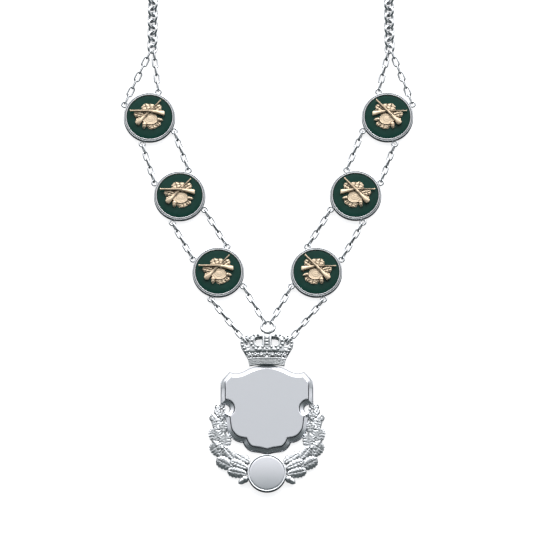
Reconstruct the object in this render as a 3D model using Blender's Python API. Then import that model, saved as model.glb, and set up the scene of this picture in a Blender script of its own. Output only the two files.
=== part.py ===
"""Shooting guild chain: a neck chain, six enamelled medallions and a pendant.

The chain lies flat on a table, face up. Lengths are in metres. X runs across,
+Y runs up towards the clasp at the back of the neck and +Z is up. The layout
is measured from the axis of the pendant's round plate, and the finished parts
are carried by an empty that puts the middle of their outline at the origin.
"""

import math

import bmesh
import bpy
from mathutils import Matrix, Vector

# Clearance between neighbouring pieces.
GAP = 0.0003

# Medallions: a turned bezel, an enamel disc in its recess and a gilt emblem.
ENAMEL_RADIUS = 0.0158
ENAMEL_THICKNESS = 0.0009
LIP_CHAMFER = 0.0004
LIP_WIDTH = 0.0006
LIP_RISE = 0.0004
LEDGE_WIDTH = 0.0010
FLOOR_THICKNESS = 0.0020
BEZEL_SEGMENTS = 28
BEZEL_RADIUS = ENAMEL_RADIUS + GAP + LIP_CHAMFER + LIP_WIDTH + LEDGE_WIDTH
ENAMEL_BASE = FLOOR_THICKNESS + GAP
ENAMEL_TOP = ENAMEL_BASE + ENAMEL_THICKNESS
BEZEL_HEIGHT = ENAMEL_TOP + LIP_RISE

# Fine chain: oval links, so its tube has the width of a link.
FINE_LINK_WIDTH = 0.0036
FINE_LEVEL = FINE_LINK_WIDTH / 2

# Soldered loops, four round each bezel, lying flat at the fine chain's level.
LOOP_RADIUS = 0.00255
LOOP_WIRE = 0.00135
LOOP_SINK = 0.00055
LOOP_SEGMENTS = 10
LOOP_SIDES = 5
LOOP_DISTANCE = BEZEL_RADIUS + LOOP_RADIUS - LOOP_SINK
LOOP_ANGLES = {"outer_top": 151.0, "inner_top": 72.0, "outer_bottom": 255.5, "inner_bottom": 330.5}

# Neck chain: round rings threaded through one another, rolled to either side.
NECK_RING_RADIUS = 0.0042
NECK_WIRE = 0.0019
NECK_TUBE_RADIUS = 0.0036
NECK_RING_ROLL = 36.0
NECK_LEVEL = (NECK_RING_RADIUS - NECK_WIRE / 2) * math.sin(math.radians(NECK_RING_ROLL)) + NECK_WIRE / 2
RING_SEGMENTS = 16
RING_SIDES = 6
TUBE_STEP = 2.6
GRIP_ANGLE = 36.0

# Clasp ring at the back of the neck.
CLASP_RADIUS = 0.0068
CLASP_WIRE = 0.0024

# Route of the chain: places chosen by hand on the left and the right side.
MEDALLION_ROUTE = (
    # row, left x, left y, right x, right y
    ("top", -0.0825, 0.2605, 0.0847, 0.2607),
    ("mid", -0.0612, 0.2027, 0.0622, 0.2030),
    ("low", -0.0341, 0.1468, 0.0346, 0.1467),
)
END_RING_PLACES = {"left": (-0.0806, 0.3113), "right": (0.0863, 0.3112)}
CLASP_PLACE = (0.0028, 0.5470)
# Route of the neck chain, first from the end ring on, then from the clasp back.
NECK_RISE = {
    "left": ((0.0002, 0.0320), (0.0004, 0.0687), (0.0005, 0.1087)),
    "right": ((-0.0003, 0.0321), (-0.0005, 0.0688), (-0.0006, 0.1088)),
}
NECK_BACK = ((0.0816, -0.0890), (0.0728, -0.0510), (0.0508, -0.0190), (0.0238, -0.0030))

# Round plate at the foot of the pendant, in a turned cup.
PLATE_RADIUS = 0.0122
PLATE_THICKNESS = 0.0011
CUP_LIP_WIDTH = 0.0010
CUP_FLOOR = 0.0020
CUP_LIP_RISE = 0.0003
CUP_SEGMENTS = 28
BACK_STRAP = 0.0012
CUP_RADIUS = PLATE_RADIUS + GAP + CUP_LIP_WIDTH
CUP_BASE = BACK_STRAP + GAP
PLATE_BASE = CUP_BASE + CUP_FLOOR + GAP
CUP_TOP = PLATE_BASE + PLATE_THICKNESS + CUP_LIP_RISE

# Shield: a plate with a wide bevel, bitten at both sides.
SHIELD_WIDTH = 0.0647
SHIELD_HEIGHT = 0.0648
SHIELD_EDGE = 0.0013
SHIELD_RISE = 0.0014
SHIELD_BEVEL = 0.0034
BITE_RADIUS = 0.0032
BITE_END = 74.0
BITE_STEPS = 5
SHIELD_BASE = BACK_STRAP + GAP
SHIELD_TIP_Y = CUP_RADIUS + GAP
# Half outline from the tip up to the bite and from the bite up to the crest,
# as shares of the half width and of the height.
SHIELD_FOOT = (
    (0.000, 0.000), (0.142, 0.022), (0.328, 0.036), (0.415, 0.060), (0.480, 0.098),
    (0.516, 0.134), (0.600, 0.142), (0.700, 0.166), (0.790, 0.210), (0.850, 0.262),
    (0.878, 0.330), (0.898, 0.418),
)
SHIELD_BITE = (0.902, 0.512)
SHIELD_HEAD = (
    (1.000, 0.570), (0.998, 0.817), (0.806, 0.925), (0.730, 0.913), (0.652, 0.910),
    (0.560, 0.920), (0.480, 0.938), (0.377, 0.960), (0.180, 0.990), (0.000, 1.000),
)

# Crown: a domed casting, pierced between its arches, with a soldered ring.
CROWN_WIDTH = 0.0372
CROWN_HEIGHT = 0.0232
CROWN_EDGE = 0.0024
CROWN_BELLY = 0.0040
CROWN_BAND_PROUD = 0.0005
CROWN_BAND = 0.27
CROWN_BASE_Y = SHIELD_TIP_Y + SHIELD_HEIGHT + GAP
CROWN_DOME_STEPS = 12
CROWN_SPARE = 0.0023
CROWN_TAB_WIDTH = 0.0130
CROWN_TAB_REACH = 0.0045
PEARL_RADIUS = 0.0009
# Half outline from the middle of the foot to the middle of the top, the two
# pierced gaps of a half, and the pearls, as shares of half width and height.
CROWN_OUTLINE = (
    (0.655, 0.000), (0.720, 0.225), (0.865, 0.425), (0.960, 0.560), (1.000, 0.715),
    (0.960, 0.880), (0.850, 0.975), (0.720, 0.985), (0.600, 0.940), (0.470, 1.000),
    (0.250, 1.010),
)
CROWN_GAPS = (
    ((0.165, 0.580), (0.300, 0.560), (0.430, 0.640), (0.455, 0.740), (0.400, 0.840),
     (0.290, 0.870), (0.165, 0.850)),
    ((0.700, 0.560), (0.810, 0.600), (0.870, 0.720), (0.780, 0.810), (0.660, 0.740),
     (0.640, 0.640)),
)
CROWN_PEARLS = (
    (0.920, 0.550), (0.965, 0.660), (0.945, 0.800), (0.850, 0.900), (0.720, 0.905),
    (0.470, 0.920), (0.570, 0.830), (0.560, 0.700), (0.540, 0.580),
    (0.330, 0.470), (0.110, 0.480), (0.650, 0.420), (0.160, 0.350), (0.440, 0.340),
)
CROWN_MIDDLE_PEARLS = (0.60, 0.72, 0.84)
CROWN_RING_RADIUS = 0.0054
CROWN_RING_WIRE = 0.0019
CROWN_RING_SINK = 0.0012
CROWN_RING_LEVEL = 0.0034
CROWN_RING_ASIDE = 0.0007
CROWN_RING_GRIP = 29.0
# Where the outer fine chains hook in, and how far their tubes stay off.
CROWN_HOOK = (0.76, 0.69)
CROWN_HOOK_LEVEL = 0.0026
HOOK_REACH = 0.0066

# Wreath: oak leaves and acorns along two arms, on a flat strap.
WREATH_HALF_WIDTH = 0.0335
WREATH_HALF_HEIGHT = 0.0300
WREATH_STRAP_WIDTH = 0.0050
WREATH_SWEEP = 120.0
WREATH_STEPS = 9
LEAF_LOBE_COUNT = 2
LEAF_NOTCH = 0.74
LEAF_TAPER = 0.80
LEAF_LENGTH = 0.0118
LEAF_WIDTH = 0.0082
LEAF_HEIGHT = 0.0032
LEAF_SOCKET = 0.00025
LEAF_STAGGER = 0.00003
WREATH_LEAVES = (
    # sweep, outward, heading off the arm, length, width, height
    (32.5, 0.42, 28.0, 1.24, 1.08, 0.86),
    (40.0, -0.42, 10.0, 1.00, 0.90, 0.80),
    (38.0, -0.09, 17.0, 1.05, 0.92, 1.00),
    (50.0, 0.40, 25.0, 1.14, 1.04, 0.90),
    (60.0, -0.16, 15.0, 1.05, 1.00, 0.96),
    (67.0, 0.31, 11.0, 1.02, 1.03, 0.84),
    (78.5, -0.28, -4.0, 1.00, 1.00, 0.92),
    (86.0, 0.24, 6.0, 1.02, 1.03, 1.00),
    (94.0, -0.22, 4.0, 1.00, 0.85, 0.82),
    (105.0, 0.28, 36.0, 1.00, 1.00, 0.90),
    (105.0, -0.05, 16.0, 0.92, 0.82, 0.78),
    (117.5, 0.30, 42.0, 0.74, 0.72, 0.86),
)
WREATH_ACORNS = (
    # sweep, outward, heading off the arm
    (24.5, 0.71, 59.0),
    (70.0, 0.02, 30.0),
    (119.0, 0.10, -10.0),
)
ACORN_RADIUS = 0.0023
ACORN_STRETCH = 1.35
TWIG_WIDTH = 0.0016

# Emblem: oak leaves and acorns behind a target and two crossed rifles.
EMBLEM_SPREAD = 0.0100
EMBLEM_BACK = 0.0009
TARGET_RADIUS = 0.0051
TARGET_SQUASH = 0.72
TARGET_HEIGHT = 0.0014
TARGET_TAPER = 0.9
TARGET_SEGMENTS = 12
TARGET_HEADING = -8.0
RIFLE_LENGTH = 0.0256
RIFLE_BARREL = 0.0009
RIFLE_STOCK = 0.0024
RIFLE_HEIGHT = 0.0018
RIFLE_STEP = 0.0005
EMBLEM_LEAVES = (
    # x, y, heading, length, width, as shares of the emblem's spread
    (0.48, 0.40, 48.0, 0.84, 0.62),
    (-0.18, 0.50, 104.0, 0.78, 0.62),
    (-0.66, 0.00, 190.0, 0.62, 0.60),
    (0.20, -0.60, 282.0, 0.46, 0.66),
)
EMBLEM_ACORN_RADIUS = 0.0016
EMBLEM_ACORN_SEAT = 0.0004
EMBLEM_ACORNS = ((0.62, -0.30, 320.0), (-0.30, -0.64, 240.0))
EMBLEM_TARGET = (0.03, -0.19)
EMBLEM_RIFLES = (
    # x and y of the rifle's middle, heading of the muzzle, level
    (-0.08, 0.10, 168.0, 0),
    (-0.02, 0.22, 50.0, 1),
)

# Finishes: colour, metallic and roughness.
FINISHES = {
    "silver": ((0.80, 0.81, 0.82), 1.0, 0.22),
    "gilt": ((0.80, 0.62, 0.38), 1.0, 0.34),
    "enamel": ((0.018, 0.085, 0.062), 0.0, 0.12),
}

COLLECTED = []


def clear_scene():
    """Removes whatever the scene already holds."""
    for stale in list(bpy.data.objects):
        bpy.data.objects.remove(stale, do_unlink=True)


def finish_for(name, kind):
    """Returns a material of its own for one piece."""
    colour, metallic, roughness = FINISHES[kind]
    material = bpy.data.materials.new(name + "_" + kind)
    material.use_nodes = True
    shader = material.node_tree.nodes["Principled BSDF"]
    shader.inputs["Base Color"].default_value = (*colour, 1.0)
    shader.inputs["Metallic"].default_value = metallic
    shader.inputs["Roughness"].default_value = roughness
    return material


def mesh_object(name, shape):
    """Makes an object of a bmesh, with its faces turned outwards."""
    bmesh.ops.recalc_face_normals(shape, faces=shape.faces)
    mesh = bpy.data.meshes.new(name)
    shape.to_mesh(mesh)
    shape.free()
    made = bpy.data.objects.new(name, mesh)
    bpy.context.scene.collection.objects.link(made)
    return made


def publish(made, kind, smooth=True):
    """Gives a finished piece its material and shading, and keeps it."""
    made.data.materials.clear()
    made.data.materials.append(finish_for(made.name, kind))
    if smooth:
        made.data.shade_smooth()
        made.data.set_sharp_from_angle(angle=math.radians(35.0))
    COLLECTED.append(made)
    return made


def combined(target, tool, operation, inner=False):
    """Applies a Boolean of two objects to the first and removes the second."""
    cut = target.modifiers.new(operation.lower(), "BOOLEAN")
    cut.operation = operation
    cut.solver = "EXACT"
    cut.use_self = inner
    cut.object = tool
    graph = bpy.context.evaluated_depsgraph_get()
    graph.update()
    mesh = bpy.data.meshes.new_from_object(target.evaluated_get(graph))
    target.modifiers.clear()
    target.data = mesh
    bpy.data.objects.remove(tool, do_unlink=True)
    return target


def turned(shape, profile, segments, place=Matrix()):
    """Spins a profile of (radius, height) pairs round Z into a closed solid."""
    verts = [shape.verts.new((radius, 0.0, height)) for radius, height in profile]
    edges = [shape.edges.new(pair) for pair in zip(verts[:-1], verts[1:])]
    bmesh.ops.spin(
        shape, geom=verts + edges, cent=(0, 0, 0), axis=(0, 0, 1),
        angle=math.tau, steps=segments, use_merge=True,
    )
    bmesh.ops.remove_doubles(shape, verts=shape.verts, dist=1e-6)
    bmesh.ops.transform(shape, matrix=place, verts=shape.verts)


def ring(shape, outer_radius, wire, segments, sides, place):
    """Adds a round ring of round wire, lying flat before it is placed."""
    fresh = bmesh.new()
    section = bmesh.ops.create_circle(fresh, segments=sides, radius=wire / 2)["verts"]
    stand = Matrix.Translation((outer_radius - wire / 2, 0, 0)) @ Matrix.Rotation(math.pi / 2, 4, "X")
    bmesh.ops.transform(fresh, matrix=stand, verts=section)
    bmesh.ops.spin(
        fresh, geom=list(fresh.verts) + list(fresh.edges), cent=(0, 0, 0), axis=(0, 0, 1),
        angle=math.tau, steps=segments, use_merge=True,
    )
    bmesh.ops.remove_doubles(fresh, verts=fresh.verts, dist=1e-6)
    bmesh.ops.transform(fresh, matrix=place, verts=fresh.verts)
    append(shape, fresh)


def append(shape, fresh):
    """Adds a bmesh to another one and frees it."""
    carrier = bpy.data.meshes.new("carrier")
    fresh.to_mesh(carrier)
    fresh.free()
    shape.from_mesh(carrier)
    bpy.data.meshes.remove(carrier)


def stacked(shape, levels, place=Matrix()):
    """Adds a solid through outlines of equal length, each a (points, z) pair."""
    fresh = bmesh.new()
    points, height = levels[0]
    face = fresh.faces.new([fresh.verts.new((x, y, height)) for x, y in points])
    for index, (points, height) in enumerate(levels[1:]):
        below = face
        corners = [tuple(vert.co) for vert in below.verts]
        grown = bmesh.ops.extrude_face_region(fresh, geom=[below])["geom"]
        face = next(item for item in grown if isinstance(item, bmesh.types.BMFace))
        copies = {tuple(vert.co): vert for vert in face.verts}
        for corner, (x, y) in zip(corners, points):
            copies[corner].co = (x, y, height)
        if index:
            bmesh.ops.delete(fresh, geom=[below], context="FACES_ONLY")
    bmesh.ops.recalc_face_normals(fresh, faces=fresh.faces)
    bmesh.ops.transform(fresh, matrix=place, verts=fresh.verts)
    append(shape, fresh)


def offset_outline(points, distance):
    """Moves each corner of a counter-clockwise outline outwards along its mitre."""
    moved = []
    count = len(points)
    for index, here in enumerate(points):
        before = Vector(points[index - 1])
        after = Vector(points[(index + 1) % count])
        here = Vector(here)
        first = (here - before).normalized()
        second = (after - here).normalized()
        normal = Vector((first.y + second.y, -first.x - second.x)).normalized()
        reach = distance / max(normal.dot(Vector((first.y, -first.x))), 0.5)
        moved.append(tuple(here + normal * reach))
    return moved


def shrunk(points, share):
    """Scales an outline about its middle."""
    middle = sum((Vector(point) for point in points), Vector((0, 0))) / len(points)
    return [tuple(middle + (Vector(point) - middle) * share) for point in points]


def arc(centre, radius, start, end, steps):
    """Returns points on an arc, angles in degrees, both ends included."""
    points = []
    for step in range(steps + 1):
        angle = math.radians(start + (end - start) * step / steps)
        points.append((centre[0] + radius * math.cos(angle), centre[1] + radius * math.sin(angle)))
    return points


def mirrored(points):
    """Mirrors an outline across the Y axis and keeps it counter-clockwise."""
    return [(-x, y) for x, y in reversed(points)]


def smooth_route(points, spacing):
    """Reads evenly spaced points from a smooth curve through chosen ones."""
    knots = [Vector(point) for point in points]
    knots = [2 * knots[0] - knots[1]] + knots + [2 * knots[-1] - knots[-2]]
    dense = []
    for index in range(1, len(knots) - 2):
        a, b, c, d = knots[index - 1:index + 3]
        for step in range(24):
            t = step / 24
            dense.append(
                0.5 * (2 * b + (c - a) * t + (2 * a - 5 * b + 4 * c - d) * t * t
                       + (3 * b - a - 3 * c + d) * t ** 3)
            )
    dense.append(knots[-2])
    travelled = [0.0]
    for before, after in zip(dense[:-1], dense[1:]):
        travelled.append(travelled[-1] + (after - before).length)
    count = max(2, round(travelled[-1] / spacing) + 1)
    evenly = []
    index = 0
    for number in range(count):
        wanted = travelled[-1] * number / (count - 1)
        while index < len(travelled) - 2 and travelled[index + 1] < wanted:
            index += 1
        share = (wanted - travelled[index]) / (travelled[index + 1] - travelled[index])
        evenly.append(dense[index].lerp(dense[index + 1], share))
    return evenly


def tube(name, points, radius):
    """Makes a chain's tube through its points and publishes it."""
    curve = bpy.data.curves.new(name, "CURVE")
    curve.dimensions = "3D"
    curve.bevel_depth = radius
    curve.bevel_resolution = 2
    curve.use_fill_caps = True
    spline = curve.splines.new("POLY")
    spline.points.add(len(points) - 1)
    for slot, point in zip(spline.points, points):
        slot.co = (*point, 1.0)
    made = bpy.data.objects.new(name, curve)
    bpy.context.scene.collection.objects.link(made)
    curve.materials.append(finish_for(name, "silver"))
    COLLECTED.append(made)
    return made


def medallion_places():
    """Returns the centre of each medallion by side and row."""
    places = {}
    for row, left_x, left_y, right_x, right_y in MEDALLION_ROUTE:
        places["left", row] = Vector((left_x, left_y, 0))
        places["right", row] = Vector((right_x, right_y, 0))
    return places


def loop_place(centre, side, corner):
    """Returns the middle of one soldered loop of a medallion."""
    angle = math.radians(LOOP_ANGLES[corner])
    across = LOOP_DISTANCE * math.cos(angle) * (1 if side == "left" else -1)
    return centre + Vector((across, LOOP_DISTANCE * math.sin(angle), FINE_LEVEL))


def build_bezel(side, row, centre):
    """Makes a bezel: a turned dish with a raised lip and four flat loops."""
    recess = ENAMEL_RADIUS + GAP
    crest = recess + LIP_CHAMFER
    profile = (
        (0.0, 0.0), (BEZEL_RADIUS, 0.0), (BEZEL_RADIUS, BEZEL_HEIGHT - LIP_RISE),
        (crest + LIP_WIDTH + LIP_CHAMFER, BEZEL_HEIGHT - LIP_RISE),
        (crest + LIP_WIDTH, BEZEL_HEIGHT), (crest, BEZEL_HEIGHT),
        (recess, FLOOR_THICKNESS), (0.0, FLOOR_THICKNESS),
    )
    name = "bezel_" + side + "_" + row
    dish = bmesh.new()
    turned(dish, profile, BEZEL_SEGMENTS, Matrix.Translation(centre))
    loops = bmesh.new()
    for corner in LOOP_ANGLES:
        spot = Matrix.Translation(loop_place(centre, side, corner))
        ring(loops, LOOP_RADIUS, LOOP_WIRE, LOOP_SEGMENTS, LOOP_SIDES, spot)
    bezel = mesh_object(name, dish)
    combined(bezel, mesh_object(name + "_loops", loops), "UNION")
    publish(bezel, "silver")


def build_enamel(side, row, centre):
    """Makes the enamel disc that lies in the bezel's recess."""
    profile = (
        (0.0, ENAMEL_BASE), (ENAMEL_RADIUS, ENAMEL_BASE),
        (ENAMEL_RADIUS, ENAMEL_TOP), (0.0, ENAMEL_TOP),
    )
    disc = bmesh.new()
    turned(disc, profile, BEZEL_SEGMENTS, Matrix.Translation(centre))
    publish(mesh_object("enamel_" + side + "_" + row, disc), "enamel")


def leaf_outline(length, width, lobes):
    """Returns an oak leaf's outline along +X, lobed on both sides, middle at 0."""
    side = []
    for step in range(2 * lobes):
        share = (step + 1) / (2 * lobes + 1)
        swell = math.sin(math.pi * share ** 0.85)
        lobe = 1.0 if step % 2 else LEAF_NOTCH
        side.append((length * (share - 0.5), -width / 2 * lobe * (0.55 + 0.45 * swell)))
    back = [(x, -y) for x, y in reversed(side)]
    return [(-length / 2, 0.0)] + side + [(length / 2, 0.0)] + back


def add_leaf(shape, place, length, width, base, height):
    """Adds one leaf with sloping sides."""
    outline = leaf_outline(length, width, LEAF_LOBE_COUNT)
    stacked(shape, ((outline, base), (shrunk(outline, LEAF_TAPER), height)), place)


def add_acorn(shape, place, radius, depth):
    """Adds an acorn along +X, a stretched ball cut flat at a depth below its middle."""
    fresh = bmesh.new()
    bmesh.ops.create_uvsphere(fresh, u_segments=8, v_segments=5, radius=radius)
    spread = Matrix.Diagonal((ACORN_STRETCH, 1.0, 1.0, 1.0)) @ Matrix.Rotation(math.pi / 2, 4, "Y")
    bmesh.ops.transform(fresh, matrix=spread, verts=fresh.verts)
    whole = list(fresh.verts) + list(fresh.edges) + list(fresh.faces)
    bmesh.ops.bisect_plane(
        fresh, geom=whole, plane_co=(0, 0, -depth), plane_no=(0, 0, 1), clear_inner=True,
    )
    bmesh.ops.holes_fill(fresh, edges=[edge for edge in fresh.edges if edge.is_boundary])
    bmesh.ops.transform(fresh, matrix=place, verts=fresh.verts)
    append(shape, fresh)


def flat_place(x, y, heading, level=0.0):
    """Returns a turn about Z followed by a move."""
    return Matrix.Translation((x, y, level)) @ Matrix.Rotation(math.radians(heading), 4, "Z")


def rifle_outline():
    """Returns a rifle's outline from above, muzzle towards +X."""
    half = RIFLE_LENGTH / 2
    barrel = RIFLE_BARREL / 2
    stock = RIFLE_STOCK / 2
    return [
        (-half, -stock * 1.3), (-half * 0.55, -stock * 0.8), (-half * 0.30, -barrel * 1.8),
        (half * 0.15, -barrel * 1.5), (half * 0.20, -barrel), (half, -barrel),
        (half, barrel), (half * 0.15, barrel * 1.3), (-half * 0.34, barrel * 1.6),
        (-half * 0.62, stock * 0.3), (-half * 0.98, stock * 0.7),
    ]


def build_emblem(side, row, centre):
    """Makes the gilt emblem that stands on the enamel."""
    base = ENAMEL_TOP + GAP
    hand = Matrix.Diagonal((1 if side == "left" else -1, 1, 1, 1))
    spot = Matrix.Translation(centre) @ hand
    foliage = bmesh.new()
    for index, (x, y, heading, length, width) in enumerate(EMBLEM_LEAVES):
        place = spot @ flat_place(x * EMBLEM_SPREAD, y * EMBLEM_SPREAD, heading)
        low = base + index * LEAF_STAGGER
        add_leaf(foliage, place, length * EMBLEM_SPREAD, width * EMBLEM_SPREAD, low, low + EMBLEM_BACK)
    for x, y, heading in EMBLEM_ACORNS:
        level = base + EMBLEM_ACORN_SEAT
        place = spot @ flat_place(x * EMBLEM_SPREAD, y * EMBLEM_SPREAD, heading, level)
        add_acorn(foliage, place, EMBLEM_ACORN_RADIUS, EMBLEM_ACORN_SEAT)
    last = 360.0 * (TARGET_SEGMENTS - 1) / TARGET_SEGMENTS
    oval = [(x, y * TARGET_SQUASH) for x, y in arc((0, 0), TARGET_RADIUS, 0.0, last, TARGET_SEGMENTS - 1)]
    target_x, target_y = EMBLEM_TARGET
    place = spot @ flat_place(target_x * EMBLEM_SPREAD, target_y * EMBLEM_SPREAD, TARGET_HEADING)
    low = base + len(EMBLEM_LEAVES) * LEAF_STAGGER
    stacked(foliage, ((oval, low), (shrunk(oval, TARGET_TAPER), low + TARGET_HEIGHT)), place)
    name = "emblem_" + side + "_" + row
    rifles = bmesh.new()
    for x, y, heading, level in EMBLEM_RIFLES:
        low = base + (len(EMBLEM_LEAVES) + 1 + level) * LEAF_STAGGER
        high = low + RIFLE_HEIGHT + level * RIFLE_STEP
        place = spot @ flat_place(x * EMBLEM_SPREAD, y * EMBLEM_SPREAD, heading)
        stacked(rifles, ((rifle_outline(), low), (rifle_outline(), high)), place)
    emblem = mesh_object(name, foliage)
    combined(emblem, mesh_object(name + "_rifles", rifles), "UNION", inner=True)
    publish(emblem, "gilt")


def stretch(name, start, start_clear, end, end_clear):
    """Makes the tube of a fine chain between the middles of what holds it."""
    start = Vector((start[0], start[1], max(start[2], FINE_LEVEL)))
    end = Vector((end[0], end[1], max(end[2], FINE_LEVEL)))
    along = (end - start).normalized()
    first = start + along * start_clear
    last = end - along * end_clear
    pieces = max(1, round((last - first).length / (TUBE_STEP * FINE_LINK_WIDTH)))
    points = [first.lerp(last, step / pieces) for step in range(pieces + 1)]
    tube(name, points, FINE_LINK_WIDTH / 2)


def ring_grip(place, side, hand):
    """Returns where a fine chain leaves an end ring, outer or inner."""
    lean = math.radians(GRIP_ANGLE)
    roll = math.radians(NECK_RING_ROLL)
    mean = NECK_RING_RADIUS - NECK_WIRE / 2
    towards = -1 if (side == "left") == (hand == "outer") else 1
    lift = 1 if hand == "outer" else -1
    across = mean * math.sin(lean)
    x = place[0] + towards * across * math.cos(roll)
    return x, place[1] - mean * math.cos(lean), NECK_LEVEL + lift * across * math.sin(roll)


def build_fine_chains(places):
    """Makes the two rows of fine chain on both sides, from neck to crown."""
    loop_clear = LOOP_RADIUS + GAP
    ring_clear = NECK_WIRE / 2 + GAP
    for side in ("left", "right"):
        sign = -1 if side == "left" else 1
        for hand in ("outer", "inner"):
            label = "fine_chain_" + side + "_" + hand + "_"
            upper = ring_grip(END_RING_PLACES[side], side, hand)
            clear = ring_clear
            for number, row in enumerate(("top", "mid", "low"), start=1):
                lower = loop_place(places[side, row], side, hand + "_top")
                stretch(label + str(number), upper, clear, lower, loop_clear)
                upper = loop_place(places[side, row], side, hand + "_bottom")
                clear = loop_clear
            if hand == "outer":
                x, y = CROWN_HOOK
                lower = (sign * x * CROWN_WIDTH / 2, CROWN_BASE_Y + y * CROWN_HEIGHT, CROWN_HOOK_LEVEL)
                stretch(label + "4", upper, clear, lower, HOOK_REACH)
            else:
                grip = math.radians(CROWN_RING_GRIP)
                mean = CROWN_RING_RADIUS - CROWN_RING_WIRE / 2
                across = CROWN_RING_ASIDE + sign * mean * math.sin(grip)
                lower = (across, crown_ring_y() + mean * math.cos(grip), CROWN_RING_LEVEL)
                stretch(label + "4", upper, clear, lower, CROWN_RING_WIRE / 2 + 2 * GAP)


def build_neck_chain():
    """Makes the end rings, both halves of the neck chain and the clasp ring."""
    for side, place in END_RING_PLACES.items():
        sign = 1 if side == "left" else -1
        roll = Matrix.Rotation(math.radians(sign * NECK_RING_ROLL), 4, "Y")
        shape = bmesh.new()
        spot = Matrix.Translation((place[0], place[1], NECK_LEVEL)) @ roll
        ring(shape, NECK_RING_RADIUS, NECK_WIRE, RING_SEGMENTS, RING_SIDES, spot)
        publish(mesh_object("end_ring_" + side, shape), "silver")
        route = [(place[0], place[1] + NECK_RING_RADIUS + GAP)]
        route += [(place[0] + across, place[1] + up) for across, up in NECK_RISE[side]]
        route += [(CLASP_PLACE[0] - sign * across, CLASP_PLACE[1] + up) for across, up in NECK_BACK]
        route.append((CLASP_PLACE[0] - sign * (CLASP_RADIUS + GAP), CLASP_PLACE[1]))
        points = [(*point, NECK_TUBE_RADIUS) for point in smooth_route(route, TUBE_STEP * 2 * NECK_TUBE_RADIUS)]
        tube("neck_chain_" + side, points, NECK_TUBE_RADIUS)
    shape = bmesh.new()
    spot = Matrix.Translation((*CLASP_PLACE, CLASP_WIRE / 2))
    ring(shape, CLASP_RADIUS, CLASP_WIRE, RING_SEGMENTS, RING_SIDES, spot)
    publish(mesh_object("clasp_ring", shape), "silver")


def build_plate():
    """Makes the round plate and the cup that holds it."""
    recess = PLATE_RADIUS + GAP
    edge = CUP_LIP_WIDTH / 4
    profile = (
        (0.0, CUP_BASE), (CUP_RADIUS, CUP_BASE), (CUP_RADIUS, CUP_TOP - edge),
        (CUP_RADIUS - edge, CUP_TOP), (recess + edge, CUP_TOP),
        (recess, PLATE_BASE - GAP), (0.0, PLATE_BASE - GAP),
    )
    cup = bmesh.new()
    turned(cup, profile, CUP_SEGMENTS)
    publish(mesh_object("plate_cup", cup), "silver")
    top = PLATE_BASE + PLATE_THICKNESS
    plate = bmesh.new()
    profile = ((0.0, PLATE_BASE), (PLATE_RADIUS, PLATE_BASE), (PLATE_RADIUS, top), (0.0, top))
    turned(plate, profile, CUP_SEGMENTS)
    publish(mesh_object("blank_plate", plate), "silver")


def shield_place(share):
    """Turns shares of the shield's half width and height into a place."""
    return share[0] * SHIELD_WIDTH / 2, SHIELD_TIP_Y + share[1] * SHIELD_HEIGHT


def shield_outline(inset=0.0):
    """Returns the shield's outline, drawn in by an inset, counter-clockwise from its tip."""
    foot = [shield_place(share) for share in SHIELD_FOOT]
    head = [shield_place(share) for share in SHIELD_HEAD]
    whole = foot + head
    whole = offset_outline(whole + mirrored(whole)[1:-1], -inset)
    foot = whole[:len(foot)]
    head = whole[len(foot):len(foot) + len(head)]
    centre = shield_place(SHIELD_BITE)
    radius = BITE_RADIUS + inset
    side = SHIELD_WIDTH / 2 - inset
    start = 180.0 + math.degrees(math.acos((centre[0] - foot[-1][0]) / radius))
    end = max(BITE_END, math.degrees(math.acos(min(1.0, (side - centre[0]) / radius))))
    bite = arc(centre, radius, start, end, BITE_STEPS)
    foot[-1] = (foot[-1][0], min(foot[-1][1], bite[0][1] - GAP))
    head[0] = (side, max(shield_place(SHIELD_HEAD[0])[1], bite[-1][1] + GAP))
    half = foot + bite + head
    return half + mirrored(half)[1:-1]


def build_shield():
    """Makes the shield: a plate whose face is set back by a wide bevel."""
    outline = shield_outline()
    face = shield_outline(SHIELD_BEVEL)
    edge = SHIELD_BASE + SHIELD_EDGE
    shape = bmesh.new()
    stacked(shape, ((outline, SHIELD_BASE), (outline, edge), (face, edge + SHIELD_RISE)))
    publish(mesh_object("shield", shape), "silver")


def crown_place(share):
    """Turns shares of the crown's half width and height into a place."""
    return share[0] * CROWN_WIDTH / 2, CROWN_BASE_Y + share[1] * CROWN_HEIGHT


def crown_front(x):
    """Returns the height of the crown's domed front at a distance from its middle."""
    return CROWN_EDGE + CROWN_BELLY * (1 - (2 * x / CROWN_WIDTH) ** 2)


def crown_ring_y():
    """Returns how far up the middle of the crown's ring lies."""
    return CROWN_BASE_Y + CROWN_HEIGHT + CROWN_RING_RADIUS - CROWN_RING_SINK


def domed_slab(shape, low_y, high_y, proud):
    """Adds a slab with a flat back and the crown's domed front."""
    half = CROWN_WIDTH / 2 + CROWN_BAND_PROUD
    section = [(half, 0.0)]
    for step in range(CROWN_DOME_STEPS + 1):
        x = half * (1 - 2 * step / CROWN_DOME_STEPS)
        section.append((x, crown_front(x) + proud))
    section.append((-half, 0.0))
    stand = Matrix.Rotation(math.pi / 2, 4, "X")
    stacked(shape, ((section, -low_y), (section, -high_y)), stand)


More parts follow.
